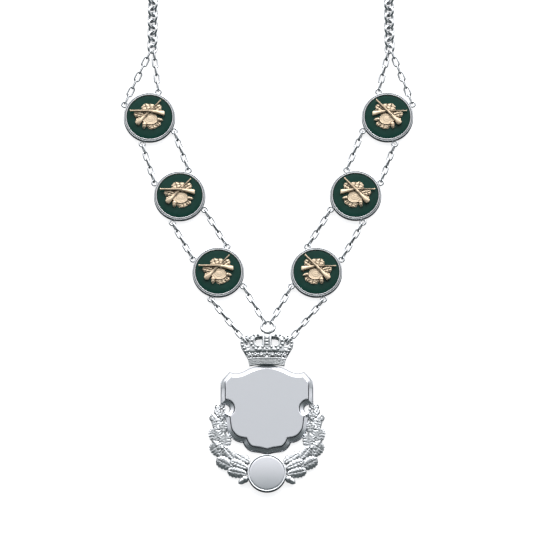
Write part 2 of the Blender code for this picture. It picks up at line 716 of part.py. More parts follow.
def build_crown():
    """Makes the crown with its pierced arches, pearls, ring and back strap."""
    half = [crown_place(share) for share in CROWN_OUTLINE]
    outline = half + mirrored(half)
    tall = CROWN_EDGE + CROWN_BELLY + 4 * CROWN_BAND_PROUD
    body = bmesh.new()
    stacked(body, ((outline, 0.0), (outline, tall)))
    crown = mesh_object("crown", body)
    foot_y = CROWN_BASE_Y - CROWN_SPARE
    band_y = CROWN_BASE_Y + CROWN_HEIGHT * CROWN_BAND
    front = bmesh.new()
    domed_slab(front, foot_y, CROWN_BASE_Y + CROWN_HEIGHT + CROWN_SPARE, 0.0)
    front_object = mesh_object("crown_front", front)
    band = bmesh.new()
    domed_slab(band, foot_y, band_y, CROWN_BAND_PROUD)
    combined(front_object, mesh_object("crown_band", band), "UNION")
    combined(crown, front_object, "INTERSECT")
    gaps = bmesh.new()
    for gap in CROWN_GAPS:
        shares = [crown_place(share) for share in gap]
        for side in (shares, mirrored(shares)):
            stacked(gaps, ((side, -tall), (side, 2 * tall)))
    combined(crown, mesh_object("crown_gaps", gaps), "DIFFERENCE")
    details = bmesh.new()
    pearls = [(sign * x, y) for x, y in CROWN_PEARLS for sign in (-1, 1)]
    pearls += [(0.0, y) for y in CROWN_MIDDLE_PEARLS]
    for share in pearls:
        x, y = crown_place(share)
        spot = Matrix.Translation((x, y, crown_front(x)))
        bmesh.ops.create_icosphere(details, subdivisions=1, radius=PEARL_RADIUS, matrix=spot)
    spot = Matrix.Translation((CROWN_RING_ASIDE, crown_ring_y(), CROWN_RING_LEVEL))
    ring(details, CROWN_RING_RADIUS, CROWN_RING_WIRE, RING_SEGMENTS, RING_SIDES, spot)
    reach = CROWN_TAB_WIDTH / 2
    low = CROWN_BASE_Y - CROWN_TAB_REACH
    high = CROWN_BASE_Y + CROWN_TAB_REACH
    tab = [(-reach, low), (reach, low), (reach, high), (-reach, high)]
    stacked(details, ((tab, GAP), (tab, BACK_STRAP)))
    combined(crown, mesh_object("crown_details", details), "UNION", inner=True)
    publish(crown, "silver")


def wreath_spine(sweep, outward=0.0):
    """Returns a place on the left arm, its sweep in degrees from the bottom."""
    angle = math.radians(sweep)
    normal = Vector((-math.sin(angle), -math.cos(angle)))
    spot = Vector((-WREATH_HALF_WIDTH * math.sin(angle), WREATH_HALF_HEIGHT * (1 - math.cos(angle))))
    return spot + normal * outward


def wreath_strap():
    """Returns the outline of the strap that runs behind both arms."""
    outer = []
    inner = []
    for step in range(-WREATH_STEPS, WREATH_STEPS + 1):
        sweep = WREATH_SWEEP * step / WREATH_STEPS
        outer.append(tuple(wreath_spine(sweep, WREATH_STRAP_WIDTH / 2)))
        inner.append(tuple(wreath_spine(sweep, -WREATH_STRAP_WIDTH / 2)))
    return outer + inner[::-1]


def twig_outline(start, end):
    """Returns the outline of an acorn's stalk, from the arm to the acorn."""
    along = (end - start).normalized() * TWIG_WIDTH / 2
    across = Vector((along.y, -along.x))
    corners = (start - along + across, end + along + across, end + along - across, start - along - across)
    return [tuple(corner) for corner in corners]


def build_wreath():
    """Makes both arms of the wreath, trimmed clear of the cup and the shield."""
    leaves = bmesh.new()
    for side in (1, -1):
        hand = Matrix.Diagonal((side, 1, 1, 1))
        for index, (sweep, outward, lean, length, width, height) in enumerate(WREATH_LEAVES):
            spot = wreath_spine(sweep, outward * LEAF_LENGTH)
            place = hand @ flat_place(spot.x, spot.y, 180.0 - sweep + lean)
            low = LEAF_SOCKET + index * LEAF_STAGGER
            add_leaf(leaves, place, length * LEAF_LENGTH, width * LEAF_WIDTH, low, height * LEAF_HEIGHT)
        for sweep, outward, lean in WREATH_ACORNS:
            spot = wreath_spine(sweep, outward * LEAF_LENGTH)
            place = hand @ flat_place(spot.x, spot.y, 180.0 - sweep + lean, BACK_STRAP)
            add_acorn(leaves, place, ACORN_RADIUS, BACK_STRAP - 2 * LEAF_SOCKET)
            twig = twig_outline(wreath_spine(sweep), spot)
            stacked(leaves, ((twig, LEAF_SOCKET), (twig, BACK_STRAP - LEAF_SOCKET)), hand)
    strap = bmesh.new()
    outline = wreath_strap()
    stacked(strap, ((outline, 0.0), (outline, BACK_STRAP)))
    wreath = mesh_object("wreath", strap)
    combined(wreath, mesh_object("wreath_leaves", leaves), "UNION", inner=True)
    room = bmesh.new()
    clear = shield_outline(-GAP)
    high = SHIELD_BASE + 2 * LEAF_HEIGHT
    stacked(room, ((clear, BACK_STRAP), (clear, high)))
    round_room = bmesh.new()
    radius = CUP_RADIUS + GAP
    profile = ((0.0, BACK_STRAP), (radius, BACK_STRAP), (radius, high), (0.0, high))
    turned(round_room, profile, CUP_SEGMENTS)
    combined(wreath, mesh_object("shield_room", room), "DIFFERENCE")
    combined(wreath, mesh_object("cup_room", round_room), "DIFFERENCE")
    publish(wreath, "silver")


def centre_on_origin():
    """Carries all pieces on an empty, so that the outline's middle is at the origin."""
    graph = bpy.context.evaluated_depsgraph_get()
    graph.update()
    low = Vector((math.inf,) * 3)
    high = Vector((-math.inf,) * 3)
    for piece in COLLECTED:
        mesh = piece.evaluated_get(graph).to_mesh()
        for vert in mesh.vertices:
            low = Vector(map(min, low, vert.co))
            high = Vector(map(max, high, vert.co))
        piece.evaluated_get(graph).to_mesh_clear()
    carrier = bpy.data.objects.new("chain_carrier", None)
    bpy.context.scene.collection.objects.link(carrier)
    carrier.location = (-(low.x + high.x) / 2, -(low.y + high.y) / 2, -low.z)
    for piece in COLLECTED:
        piece.parent = carrier


def main():
    """Builds the whole chain."""
    clear_scene()
    places = medallion_places()
    for (side, row), centre in places.items():
        build_bezel(side, row, centre)
        build_enamel(side, row, centre)
        build_emblem(side, row, centre)
    build_fine_chains(places)
    build_neck_chain()
    build_plate()
    build_shield()
    build_crown()
    build_wreath()
    centre_on_origin()


main()
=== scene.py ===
"""Looks of the shooting guild chain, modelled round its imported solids.

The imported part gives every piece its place. Each class below models one
sub-assembly finely where its solid lies, gives it its finish and hands it over.
Shapes are worked out in millimetres and turned into metres on delivery.
"""

import logging
import math
import random
from dataclasses import dataclass
from enum import Enum
from typing import Iterable, Sequence

import bmesh
import bpy
from bmesh.types import BMesh
from mathutils import Matrix, Vector, noise
from mathutils.bvhtree import BVHTree


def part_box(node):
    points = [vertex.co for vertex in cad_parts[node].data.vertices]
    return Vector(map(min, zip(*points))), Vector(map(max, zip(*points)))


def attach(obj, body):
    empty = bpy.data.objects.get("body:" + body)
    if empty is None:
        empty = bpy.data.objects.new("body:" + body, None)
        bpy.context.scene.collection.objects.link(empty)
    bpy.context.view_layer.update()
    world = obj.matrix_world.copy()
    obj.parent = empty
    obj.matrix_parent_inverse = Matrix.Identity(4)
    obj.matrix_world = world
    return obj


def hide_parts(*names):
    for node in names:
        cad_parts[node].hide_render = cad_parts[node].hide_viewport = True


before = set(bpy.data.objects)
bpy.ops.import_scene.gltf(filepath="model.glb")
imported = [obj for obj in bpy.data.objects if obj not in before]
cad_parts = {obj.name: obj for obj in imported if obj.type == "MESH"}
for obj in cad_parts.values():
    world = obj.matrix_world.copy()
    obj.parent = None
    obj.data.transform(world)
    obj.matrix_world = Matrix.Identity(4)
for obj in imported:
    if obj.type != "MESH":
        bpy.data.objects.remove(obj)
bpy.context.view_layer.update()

LOG = logging.getLogger("guild_chain")
MM = 0.001
BODY = "root"
# The vertex attribute that the metal finishes paint as shade: 0 where other surfaces close a point
# in, 1 in the open
PAINTED_SHADE = "relief"
# How near two points count as one, in millimetres
WELD = 1e-5

Point = tuple[float, float]
Points = Sequence[Point]
Colour = tuple[float, float, float]
Table = tuple[tuple[float, ...], ...]
# The place and thickness of the first and of the last wire of a stretch of fine chain
Span = tuple[Vector, float, Vector, float]
Socket = bpy.types.NodeSocket
Inputs = dict[str | int, float | Sequence[float] | Socket]


class Side(Enum):
    """The two sides of the chain, by the sign of their X."""

    LEFT = -1
    RIGHT = 1

    @property
    def label(self) -> str:
        """The side's part of a node's name."""
        return self.name.lower()


class Row(Enum):
    """The rows of medallions, from the neck down."""

    TOP = "top"
    MID = "mid"
    LOW = "low"


class Slot(Enum):
    """The record's material slots."""

    SILVER = "silver"
    SATIN = "silver_satin"
    CAST = "silver_cast"
    GILT = "pale_gilt"
    ENAMEL = "green_enamel"


# Finishes


class NodeBench:
    """Adds nodes to a node tree and links them."""

    def __init__(self, tree: bpy.types.NodeTree, coordinates: str) -> None:
        """Starts work on a node tree.

        Args:
            tree: The node tree.
            coordinates: The kind of texture coordinates that it uses.
        """
        self.tree = tree
        self.place = self.add("ShaderNodeTexCoord", {}).outputs[coordinates]

    def fill(self, node: bpy.types.Node, inputs: Inputs) -> None:
        """Sets inputs of a node, and links those that are given a socket."""
        for name, value in inputs.items():
            if isinstance(value, Socket):
                self.tree.links.new(value, node.inputs[name])
            else:
                node.inputs[name].default_value = value

    def add(self, kind: str, inputs: Inputs) -> bpy.types.Node:
        """Adds a node.

        Args:
            kind: The node's type.
            inputs: A value or a socket for each input that is not left alone.

        Returns:
            The node.
        """
        node = self.tree.nodes.new(kind)
        self.fill(node, inputs)
        return node

    def noise(self, size: float, detail: float = 2.0) -> Socket:
        """Adds a noise.

        Args:
            size: The size of one patch, in metres.
            detail: How many finer noises ride on it.

        Returns:
            The noise's value.
        """
        inputs = {"Scale": 1.0 / size, "Detail": detail, "Vector": self.place}
        return self.add("ShaderNodeTexNoise", inputs).outputs["Fac"]

    def remap(self, value: Socket, low: float, high: float) -> Socket:
        """Spreads a value from 0 to 1 between two others and returns it."""
        inputs = {"To Min": low, "To Max": high, "Value": value}
        return self.add("ShaderNodeMapRange", inputs).outputs["Result"]

    def attribute(self, name: str) -> Socket:
        """Reads a vertex attribute of the piece and returns its value."""
        node = self.add("ShaderNodeAttribute", {})
        node.attribute_name = name
        return node.outputs["Fac"]

    def blend(self, share: Socket, low: Colour, high: Colour) -> Socket:
        """Mixes two colours by a share and returns the mix."""
        node = self.add("ShaderNodeMix", {"Factor": share})
        node.data_type = "RGBA"
        ends = [socket for socket in node.inputs if socket.type == "RGBA"]
        ends[0].default_value = (*low, 1.0)
        ends[1].default_value = (*high, 1.0)
        return next(socket for socket in node.outputs if socket.type == "RGBA")

    def calculate(self, operation: str, *values: float | Socket) -> Socket:
        """Adds a calculation with values and returns its result."""
        node = self.add("ShaderNodeMath", {})
        node.operation = operation
        self.fill(node, dict(enumerate(values)))
        return node.outputs["Value"]


class MaterialBench(NodeBench):
    """Adds nodes to a new material, on Object coordinates."""

    def __init__(self, name: str) -> None:
        """Starts a material by its name, with a plain Principled BSDF."""
        self.material = bpy.data.materials.new(name)
        self.material.use_nodes = True
        super().__init__(self.material.node_tree, "Object")
        self.shader = self.tree.nodes["Principled BSDF"]

    def bump(self, height: Socket, strength: float, depth: float) -> None:
        """Bumps the surface.

        Args:
            height: The height, from 0 to 1.
            strength: How much of the bump shows.
            depth: What a height of 1 stands for, in metres.
        """
        inputs = {"Strength": strength, "Distance": depth, "Height": height}
        node = self.add("ShaderNodeBump", inputs)
        self.fill(self.shader, {"Normal": node.outputs["Normal"]})


@dataclass(frozen=True)
class MetalFinish:
    """A plated metal, bright in the open and darkened by painted shade where other surfaces close
    it in, partly standing for tarnish in its recesses.
    """

    name: str
    slot: Slot
    # Its colour in the open, and its painted shade where other surfaces close it in
    bright: Colour
    dark: Colour
    polish: float
    haze: float
    recess_haze: float
    grain_size: float
    grain_strength: float
    grain_depth: float
    # How many grains wide a patch of haze is, and how many finer noises the grain has
    haze_grains: int = 14
    grain_detail: float = 3.0

    def material(self) -> bpy.types.Material:
        """Builds the finish's material and returns it."""
        bench = MaterialBench(self.name)
        # Painted shade: the colour turns from bright to dark, and the roughness grows, as other
        # surfaces close a point in
        relief = bench.attribute(PAINTED_SHADE)
        haze = bench.remap(bench.noise(self.haze_grains * self.grain_size), 0.0, self.haze)
        dull = bench.remap(relief, self.polish + self.recess_haze, self.polish)
        bench.fill(bench.shader, {
            "Metallic": 1.0,
            "Base Color": bench.blend(relief, self.dark, self.bright),
            "Roughness": bench.calculate("ADD", dull, haze),
        })
        grain = bench.noise(self.grain_size, self.grain_detail)
        bench.bump(grain, self.grain_strength, self.grain_depth)
        return bench.material


@dataclass(frozen=True)
class EnamelFinish:
    """A fused glass enamel, a little cloudy under its gloss."""

    name: str
    slot: Slot
    deep: Colour
    light: Colour
    gloss: float
    depth: float
    cloud_size: float
    cloud_detail: float = 3.0
    ripples_per_cloud: float = 3.0
    ripple_strength: float = 0.06
    ripple_depth: float = 0.0001

    def material(self) -> bpy.types.Material:
        """Builds the finish's material and returns it."""
        bench = MaterialBench(self.name)
        cloud = bench.noise(self.cloud_size, self.cloud_detail)
        bench.fill(bench.shader, {
            "Base Color": bench.blend(cloud, self.deep, self.light),
            "Roughness": self.gloss,
            "Specular IOR Level": self.depth,
        })
        ripples = bench.noise(self.cloud_size / self.ripples_per_cloud)
        bench.bump(ripples, self.ripple_strength, self.ripple_depth)
        return bench.material


# The dark colour of each metal is painted shade for hollows, contact points and places under other
# parts, partly standing for tarnish in the hollows
POLISHED = MetalFinish(
    "polished_silver", Slot.SILVER, bright=(0.84, 0.86, 0.88), dark=(0.03, 0.04, 0.045),
    polish=0.14, haze=0.05, recess_haze=0.30,
    grain_size=0.00045, grain_strength=0.10, grain_depth=0.00005,
)
SATIN = MetalFinish(
    "satin_silver", Slot.SATIN, bright=(0.86, 0.875, 0.915), dark=(0.06, 0.07, 0.08),
    polish=0.22, haze=0.06, recess_haze=0.25,
    grain_size=0.00030, grain_strength=0.16, grain_depth=0.00004,
)
CROWN_CAST = MetalFinish(
    "crown_silver", Slot.CAST, bright=(0.86, 0.88, 0.89), dark=(0.02, 0.032, 0.036),
    polish=0.17, haze=0.08, recess_haze=0.30,
    grain_size=0.00045, grain_strength=0.22, grain_depth=0.00010,
)
CAST = MetalFinish(
    "cast_silver", Slot.CAST, bright=(0.85, 0.87, 0.89), dark=(0.02, 0.035, 0.04),
    polish=0.30, haze=0.10, recess_haze=0.25,
    grain_size=0.00040, grain_strength=0.35, grain_depth=0.00012,
)
GILT = MetalFinish(
    "champagne_gilt", Slot.GILT, bright=(0.80, 0.65, 0.475), dark=(0.03, 0.015, 0.008),
    polish=0.40, haze=0.12, recess_haze=0.25,
    grain_size=0.00055, grain_strength=0.60, grain_depth=0.00020,
)
GREEN = EnamelFinish(
    "fused_green_glass", Slot.ENAMEL, deep=(0.005, 0.038, 0.027), light=(0.011, 0.060, 0.046),
    gloss=0.12, depth=0.20, cloud_size=0.004,
)


# Bench tools


def merge(shape: BMesh, fresh: BMesh, place: Matrix = Matrix()) -> None:
    """Moves a fresh shape to its place, adds it to another and frees it."""
    bmesh.ops.transform(fresh, matrix=place, verts=fresh.verts)
    if place.is_negative:
        bmesh.ops.reverse_faces(fresh, faces=fresh.faces)
    carrier = bpy.data.meshes.new("carrier")
    fresh.to_mesh(carrier)
    fresh.free()
    shape.from_mesh(carrier)
    bpy.data.meshes.remove(carrier)


def turned(profile: Points, segments: int) -> BMesh:
    """Spins a profile round Z into a closed solid.

    Args:
        profile: Pairs of radius and height, from the foot out and up to the top.
        segments: How many steps the turn has.

    Returns:
        The solid, its faces outwards.
    """
    shape = bmesh.new()
    verts = [shape.verts.new((radius, 0.0, height)) for radius, height in profile]
    edges = [shape.edges.new(pair) for pair in zip(verts[:-1], verts[1:])]
    bmesh.ops.spin(
        shape, geom=verts + edges, cent=(0, 0, 0), axis=(0, 0, 1),
        angle=math.tau, steps=segments, use_merge=True,
    )
    bmesh.ops.remove_doubles(shape, verts=shape.verts, dist=WELD)
    bmesh.ops.recalc_face_normals(shape, faces=shape.faces)
    return shape


def wire_ring(
    outer: float, wire: float, segments: int, sides: int, straight: float = 0.0,
) -> BMesh:
    """Makes a ring or an oval link of round wire, flat in XY and long in Y.

    Args:
        outer: The outer radius of its round ends.
        wire: The wire's thickness.
        segments: How many steps go round it.
        sides: How many sides its wire has.
        straight: The length of its straight sides.

    Returns:
        The link.
    """
    shape = bmesh.new()
    section = bmesh.ops.create_circle(shape, segments=sides, radius=wire / 2)["verts"]
    first = math.pi / segments
    stand = (
        Matrix.Rotation(first, 4, "Z")
        @ Matrix.Translation((outer - wire / 2, 0, 0))
        @ Matrix.Rotation(math.pi / 2, 4, "X")
    )
    bmesh.ops.transform(shape, matrix=stand, verts=section)
    bmesh.ops.spin(
        shape, geom=list(shape.verts) + list(shape.edges), cent=(0, 0, 0), axis=(0, 0, 1),
        angle=math.tau, steps=segments, use_merge=True,
    )
    bmesh.ops.remove_doubles(shape, verts=shape.verts, dist=WELD)
    upper = [vert for vert in shape.verts if vert.co.y > 0]
    lower = [vert for vert in shape.verts if vert.co.y <= 0]
    bmesh.ops.translate(shape, vec=(0, straight / 2, 0), verts=upper)
    bmesh.ops.translate(shape, vec=(0, -straight / 2, 0), verts=lower)
    bmesh.ops.recalc_face_normals(shape, faces=shape.faces)
    return shape


def rail(path: Sequence[Vector], radius: float, sides: int = 8, closed: bool = False) -> BMesh:
    """Draws a round section along a path.

    Args:
        path: The points that its middle follows.
        radius: The section's radius.
        sides: How many sides the section has.
        closed: Whether the last point leads back to the first.

    Returns:
        The rail, its ends capped.
    """
    frames = []
    count = len(path)
    for index, here in enumerate(path):
        before = path[index - 1] if index or closed else here
        after = path[(index + 1) % count] if index < count - 1 or closed else here
        along = (after - before).normalized()
        side = along.cross(Vector((0, 0, 1))).normalized()
        up = side.cross(along)
        turn = Matrix((side, up, along)).transposed().to_4x4()
        frames.append(Matrix.Translation(here) @ turn)
    shape = bmesh.new()
    bmesh.ops.create_circle(shape, segments=sides, radius=radius)
    bmesh.ops.transform(shape, matrix=frames[0], verts=shape.verts)
    first = list(shape.edges)
    last = first
    for previous, current in zip(frames[:-1], frames[1:]):
        grown = bmesh.ops.extrude_edge_only(shape, edges=last)["geom"]
        fresh = [item for item in grown if isinstance(item, bmesh.types.BMVert)]
        edges = [item for item in grown if isinstance(item, bmesh.types.BMEdge)]
        last = [edge for edge in edges if edge.is_boundary]
        bmesh.ops.transform(shape, matrix=current @ previous.inverted(), verts=fresh)
    if closed:
        bmesh.ops.bridge_loops(shape, edges=first + last)
    else:
        bmesh.ops.holes_fill(shape, edges=[edge for edge in shape.edges if edge.is_boundary])
    bmesh.ops.recalc_face_normals(shape, faces=shape.faces)
    return shape


def slab(outline: Points, gaps: Sequence[Points], low: float, high: float) -> BMesh:
    """Makes a flat plate with an outline and pierced gaps.

    Args:
        outline: The plate's outline.
        gaps: The outlines of what is pierced through it.
        low: The height of its back.
        high: The height of its front.

    Returns:
        The plate, its faces outwards.
    """
    shape = bmesh.new()
    for loop in (outline, *gaps):
        verts = [shape.verts.new((x, y, low)) for x, y in loop]
        for first, second in zip(verts, verts[1:] + verts[:1]):
            shape.edges.new((first, second))
    bmesh.ops.triangle_fill(shape, edges=list(shape.edges), use_beauty=True)
    if not gaps:
        bmesh.ops.dissolve_faces(shape, faces=list(shape.faces))
    grown = bmesh.ops.extrude_face_region(shape, geom=list(shape.faces))["geom"]
    raised = [item for item in grown if isinstance(item, bmesh.types.BMVert)]
    bmesh.ops.translate(shape, vec=(0, 0, high - low), verts=raised)
    bmesh.ops.recalc_face_normals(shape, faces=shape.faces)
    return shape


def pillow(outline: Points, low: float, high: float, rounding: float) -> BMesh:
    """Makes a small plate whose front is rounded over in two steps.

    Args:
        outline: The plate's outline.
        low: The height of its back.
        high: The height of its front.
        rounding: How far the rounding reaches inwards.

    Returns:
        The plate.
    """
    shape = slab(outline, (), low, high - rounding)
    top = max(shape.faces, key=lambda face: face.calc_center_median().z)
    for inwards, upwards in ((0.4, 0.65), (0.6, 0.35)):
        bmesh.ops.inset_region(
            shape, faces=[top], thickness=rounding * inwards, depth=rounding * upwards,
            use_even_offset=True, use_boundary=True,
        )
    return shape


def soften(shape: BMesh, width: float, segments: int = 2, angle: float = 32.0) -> None:
    """Bevels the sharp edges of a shape.

    Args:
        shape: The shape.
        width: The bevel's width.
        segments: The bevel's steps.
        angle: The angle in degrees from which an edge counts as sharp.
    """
    least = math.radians(angle)
    inner = [edge for edge in shape.edges if edge.is_manifold]
    sharp = [edge for edge in inner if edge.calc_face_angle() > least]
    bmesh.ops.bevel(
        shape, geom=sharp, offset=width, offset_type="OFFSET", affect="EDGES",
        segments=segments, profile=0.5, material=-1, clamp_overlap=True,
    )


def sliced(shape: BMesh, axis: int, places: Iterable[float]) -> None:
    """Cuts a shape's faces along planes across one axis, and keeps both sides."""
    normal = Vector((0, 0, 0))
    normal[axis] = 1.0
    for place in places:
        whole = [*shape.verts, *shape.edges, *shape.faces]
        bmesh.ops.bisect_plane(
            shape, geom=whole, plane_co=normal * place, plane_no=normal, dist=WELD,
        )


def mark_relief(
    shape: BMesh, reach: float, rays: int = 18, clear: float = 0.04, weight: float = 2.2,
) -> None:
    """Writes how open each point lies, from 0 where it is closed in to 1 in the open, as the
    painted shade of the metal finishes.

    Args:
        shape: The shape, its faces outwards.
        reach: How near another surface must lie to close a point in.
        rays: How many directions are looked along.
        clear: How far above the point the rays start.
        weight: How strongly what closes a point in counts.
    """
    layer = shape.verts.layers.float.new(PAINTED_SHADE)
    shape.normal_update()
    tree = BVHTree.FromBMesh(shape)
    spiral = []
    for number in range(rays):
        height = 1.0 - 2.0 * (number + 0.5) / rays
        turn = number * math.pi * (3.0 - math.sqrt(5.0))
        spread = math.sqrt(1.0 - height * height)
        spiral.append(Vector((spread * math.cos(turn), spread * math.sin(turn), height)))
    for vert in shape.verts:
        start = vert.co + vert.normal * clear
        closed = 0.0
        for ray in spiral:
            ray = ray if ray.dot(vert.normal) > 0 else -ray
            distance = tree.ray_cast(start, ray, reach)[3]
            if distance is not None:
                closed += 1.0 - distance / reach
        vert[layer] = max(0.0, 1.0 - weight * closed / rays)


def deliver(
    name: str, shape: BMesh, finish: MetalFinish | EnamelFinish, nodes: Sequence[str],
    place: Vector = Vector(), angle: float = 60.0, reach: float = 1.5,
) -> None:
    """Turns a shape into a finished piece of the part, nowhere below the table.

    Args:
        name: The piece's name.
        shape: The shape, in millimetres.
        finish: What it is finished in.
        nodes: The solids that it stands for.
        place: Where the shape's origin goes.
        angle: The angle in degrees from which an edge is shaded sharp.
        reach: How near another surface must lie to dull a point and darken it with painted shade.
    """
    bmesh.ops.translate(shape, vec=place, verts=shape.verts)
    for vert in shape.verts:
        vert.co.z = max(vert.co.z, 0.0)
    # Writes the painted shade that the metal finishes read
    mark_relief(shape, reach)
    bmesh.ops.scale(shape, vec=(MM, MM, MM), verts=shape.verts)
    mesh = bpy.data.meshes.new(name)
    shape.to_mesh(mesh)
    shape.free()
    known = bpy.data.materials.get(finish.name)
    mesh.materials.append(known or finish.material())
    mesh.shade_smooth()
    mesh.set_sharp_from_angle(angle=math.radians(angle))
    piece = bpy.data.objects.new(name, mesh)
    bpy.context.scene.collection.objects.link(piece)
    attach(piece, BODY)
    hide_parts(*nodes)
    LOG.info("%s: %d faces", name, len(mesh.polygons))


def ball(radius: float = 1.0) -> BMesh:
    """Makes a bead of a radius round the origin."""
    shape = bmesh.new()
    bmesh.ops.create_icosphere(shape, subdivisions=2, radius=radius)
    return shape


def middle_of(node: str) -> Vector:
    """Returns the middle of a solid's box, in millimetres."""
    low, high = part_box(node)
    return (Vector(low) + Vector(high)) / 2 / MM


def flat(place: Vector) -> Vector:
    """Returns a place brought down to the table."""
    return Vector((place.x, place.y, 0.0))


def flat_place(x: float, y: float, heading: float, level: float = 0.0) -> Matrix:
    """Returns a turn about Z in degrees, followed by a move."""
    return Matrix.Translation((x, y, level)) @ Matrix.Rotation(math.radians(heading), 4, "Z")


def threaded(middle: Vector, along: Vector, roll: float) -> Matrix:
    """Returns the place of a link or ring in its chain.

    Args:
        middle: The link's middle.
        along: The direction of the chain there, of length 1.
        roll: The link's turn about that direction in degrees, 0 with the link lying flat.
    """
    side = along.cross(Vector((0, 0, 1))).normalized()
    turn = Matrix((side, along, side.cross(along))).transposed().to_4x4()
    return Matrix.Translation(middle) @ turn @ Matrix.Rotation(math.radians(roll), 4, "Y")


def arc(centre: Point, radius: float, start: float, end: float, steps: int) -> list[Point]:
    """Returns points on an arc, angles in degrees, both ends included."""
    x, y = centre
    turns = [math.radians(start + (end - start) * step / steps) for step in range(steps + 1)]
    return [(x + radius * math.cos(turn), y + radius * math.sin(turn)) for turn in turns]


def around(turn: float, radius: float) -> Point:
    """Returns the point at a turn in degrees and a radius from the origin."""
    return radius * math.cos(math.radians(turn)), radius * math.sin(math.radians(turn))


def smooth_run(points: Points, steps: int) -> list[Point]:
    """Returns a smooth curve through chosen points, with its two ends.

    Args:
        points: The chosen points.
        steps: How many steps lead from each point to the next.
    """
    knots = [Vector(point) for point in points]
    knots = [2 * knots[0] - knots[1]] + knots + [2 * knots[-1] - knots[-2]]
    curve = []
    for index in range(1, len(knots) - 2):
        a, b, c, d = knots[index - 1:index + 3]
        second, third = 2 * a - 5 * b + 4 * c - d, 3 * b - a - 3 * c + d
        for step in range(steps):
            t = step / steps
            curve.append(tuple(0.5 * (2 * b + (c - a) * t + second * t * t + third * t ** 3)))
    return curve + [tuple(knots[-2])]


def mirrored(points: Points) -> list[Point]:
    """Mirrors points across the Y axis and turns their order round."""
    return [(-x, y) for x, y in reversed(points)]


def offset_outline(points: Points, distance: float) -> list[Point]:
    """Moves each corner of a counter-clockwise outline outwards along its mitre."""
    moved = []
    count = len(points)
    for index, corner in enumerate(points):
        here = Vector(corner)
        first = (here - Vector(points[index - 1])).normalized()
        second = (Vector(points[(index + 1) % count]) - here).normalized()
        normal = Vector((first.y + second.y, -first.x - second.x)).normalized()
        reach = distance / max(normal.dot(Vector((first.y, -first.x))), 0.5)
        moved.append(tuple(here + normal * reach))
    return moved


# Foliage


@dataclass(frozen=True)
class OakLeaf:
    """The form of a cast oak leaf, its stalk at -X and its tip at +X."""

    # Its outline: the lobes on a side, the notches' depth and sharpness, how far the broadest
    # place lies towards the tip, how full the sides are, the ends' half width, how far the
    # sides bow forwards
    lobes: float = 5.5
    notch: float = 0.22
    notch_width: float = 1.6
    forward: float = 1.1
    fullness: float = 0.42
    end_width: float = 0.08
    bow: float = 0.10
    # Its front: the dome's height, the ribs' height and sweep, the vein's depth and half width
    crown: float = 0.95
    puff: float = 0.18
    rib_sweep: float = 0.12
    groove: float = 0.16
    vein_width: float = 0.11
    thickness: float = 1.0
    # The unevenness of the casting: its height, the size of a wave, how much finer the second is
    wave: float = 0.26
    wave_size: float = 0.95
    finer_wave: float = 2.2
    rows: int = 34
    columns: int = 14

    def spread(self, share: float) -> float:
        """Returns the leaf's half width at a share of its length, from 0 to 1."""
        drawn = share ** self.forward
        swell = max(0.05, (4.0 * drawn * (1.0 - drawn))) ** self.fullness
        between = 1.0 - abs(math.sin(math.pi * self.lobes * share))
        lobed = 1.0 - self.notch * between ** self.notch_width
        return swell * lobed if 0.01 < share < 0.99 else self.end_width

    def height(self, share: float, across: float) -> float:
        """Returns the front's height at a place on the leaf."""
        dome = self.crown * (1.0 - across * across) ** 0.7
        swept = share - self.rib_sweep * abs(across)
        ribs = abs(math.sin(math.pi * self.lobes * swept)) ** 0.5
        rib = self.puff * ribs * 4.0 * abs(across) * (1.0 - abs(across))
        vein = self.groove * math.exp(-((across / self.vein_width) ** 2))
        return dome + rib - vein

    def unevenness(self, x: float, y: float, seed: float) -> float:
        """Returns how far the casting lies above its drawn form at a place."""
        spot = Vector((x / self.wave_size, y / self.wave_size, seed))
        return self.wave * (noise.noise(spot) + 0.5 * noise.noise(self.finer_wave * spot))

    def build(self, length: float, width: float, seed: float) -> BMesh:
        """Makes one leaf, its back flat.

        Args:
            length: Its length.
            width: Its width.
            seed: What its unevenness is drawn from.

        Returns:
            The leaf, its middle over the origin and its skirt below zero.
        """
        shape = bmesh.new()
        bmesh.ops.create_grid(shape, x_segments=self.rows, y_segments=self.columns, size=1.0)
        for vert in shape.verts:
            share = (vert.co.x + 1.0) / 2
            across = vert.co.y
            bow = self.bow * width * abs(across) * math.sin(math.pi * share)
            x = length * (share - 0.5) + bow
            y = across * width / 2 * self.spread(share)
            vert.co = (x, y, self.height(share, across) + self.unevenness(x, y, seed))
        rim = [edge for edge in shape.edges if edge.is_boundary]
        for item in bmesh.ops.extrude_edge_only(shape, edges=rim)["geom"]:
            if isinstance(item, bmesh.types.BMVert):
                item.co.z = -self.thickness
        bmesh.ops.holes_fill(shape, edges=[edge for edge in shape.edges if edge.is_boundary])
        bmesh.ops.recalc_face_normals(shape, faces=shape.faces)
        return shape


@dataclass(frozen=True)
class Acorn:
    """An acorn in its cup, lying along +X."""

    segments: int = 16
    # Profiles for a radius of 1
    nut: Points = (
        (0.0, -0.9), (0.55, -0.9), (0.80, -0.4), (0.86, 0.2), (0.78, 0.8), (0.58, 1.25),
        (0.32, 1.50), (0.12, 1.60), (0.08, 1.78), (0.0, 1.82),
    )
    cup: Points = (
        (0.0, -1.6), (0.16, -1.6), (0.20, -1.36), (0.62, -1.22), (0.92, -0.85), (1.0, -0.40),
        (0.96, -0.12), (0.86, -0.02), (0.0, -0.02),
    )

    def build(self, radius: float) -> BMesh:
        """Makes an acorn of a radius, its middle at the origin."""
        shape = bmesh.new()
        lay = Matrix.Rotation(math.pi / 2, 4, "Y") @ Matrix.Scale(radius, 4)
        for profile in (self.nut, self.cup):
            merge(shape, turned(profile, self.segments), lay)
        return shape


# Medallions


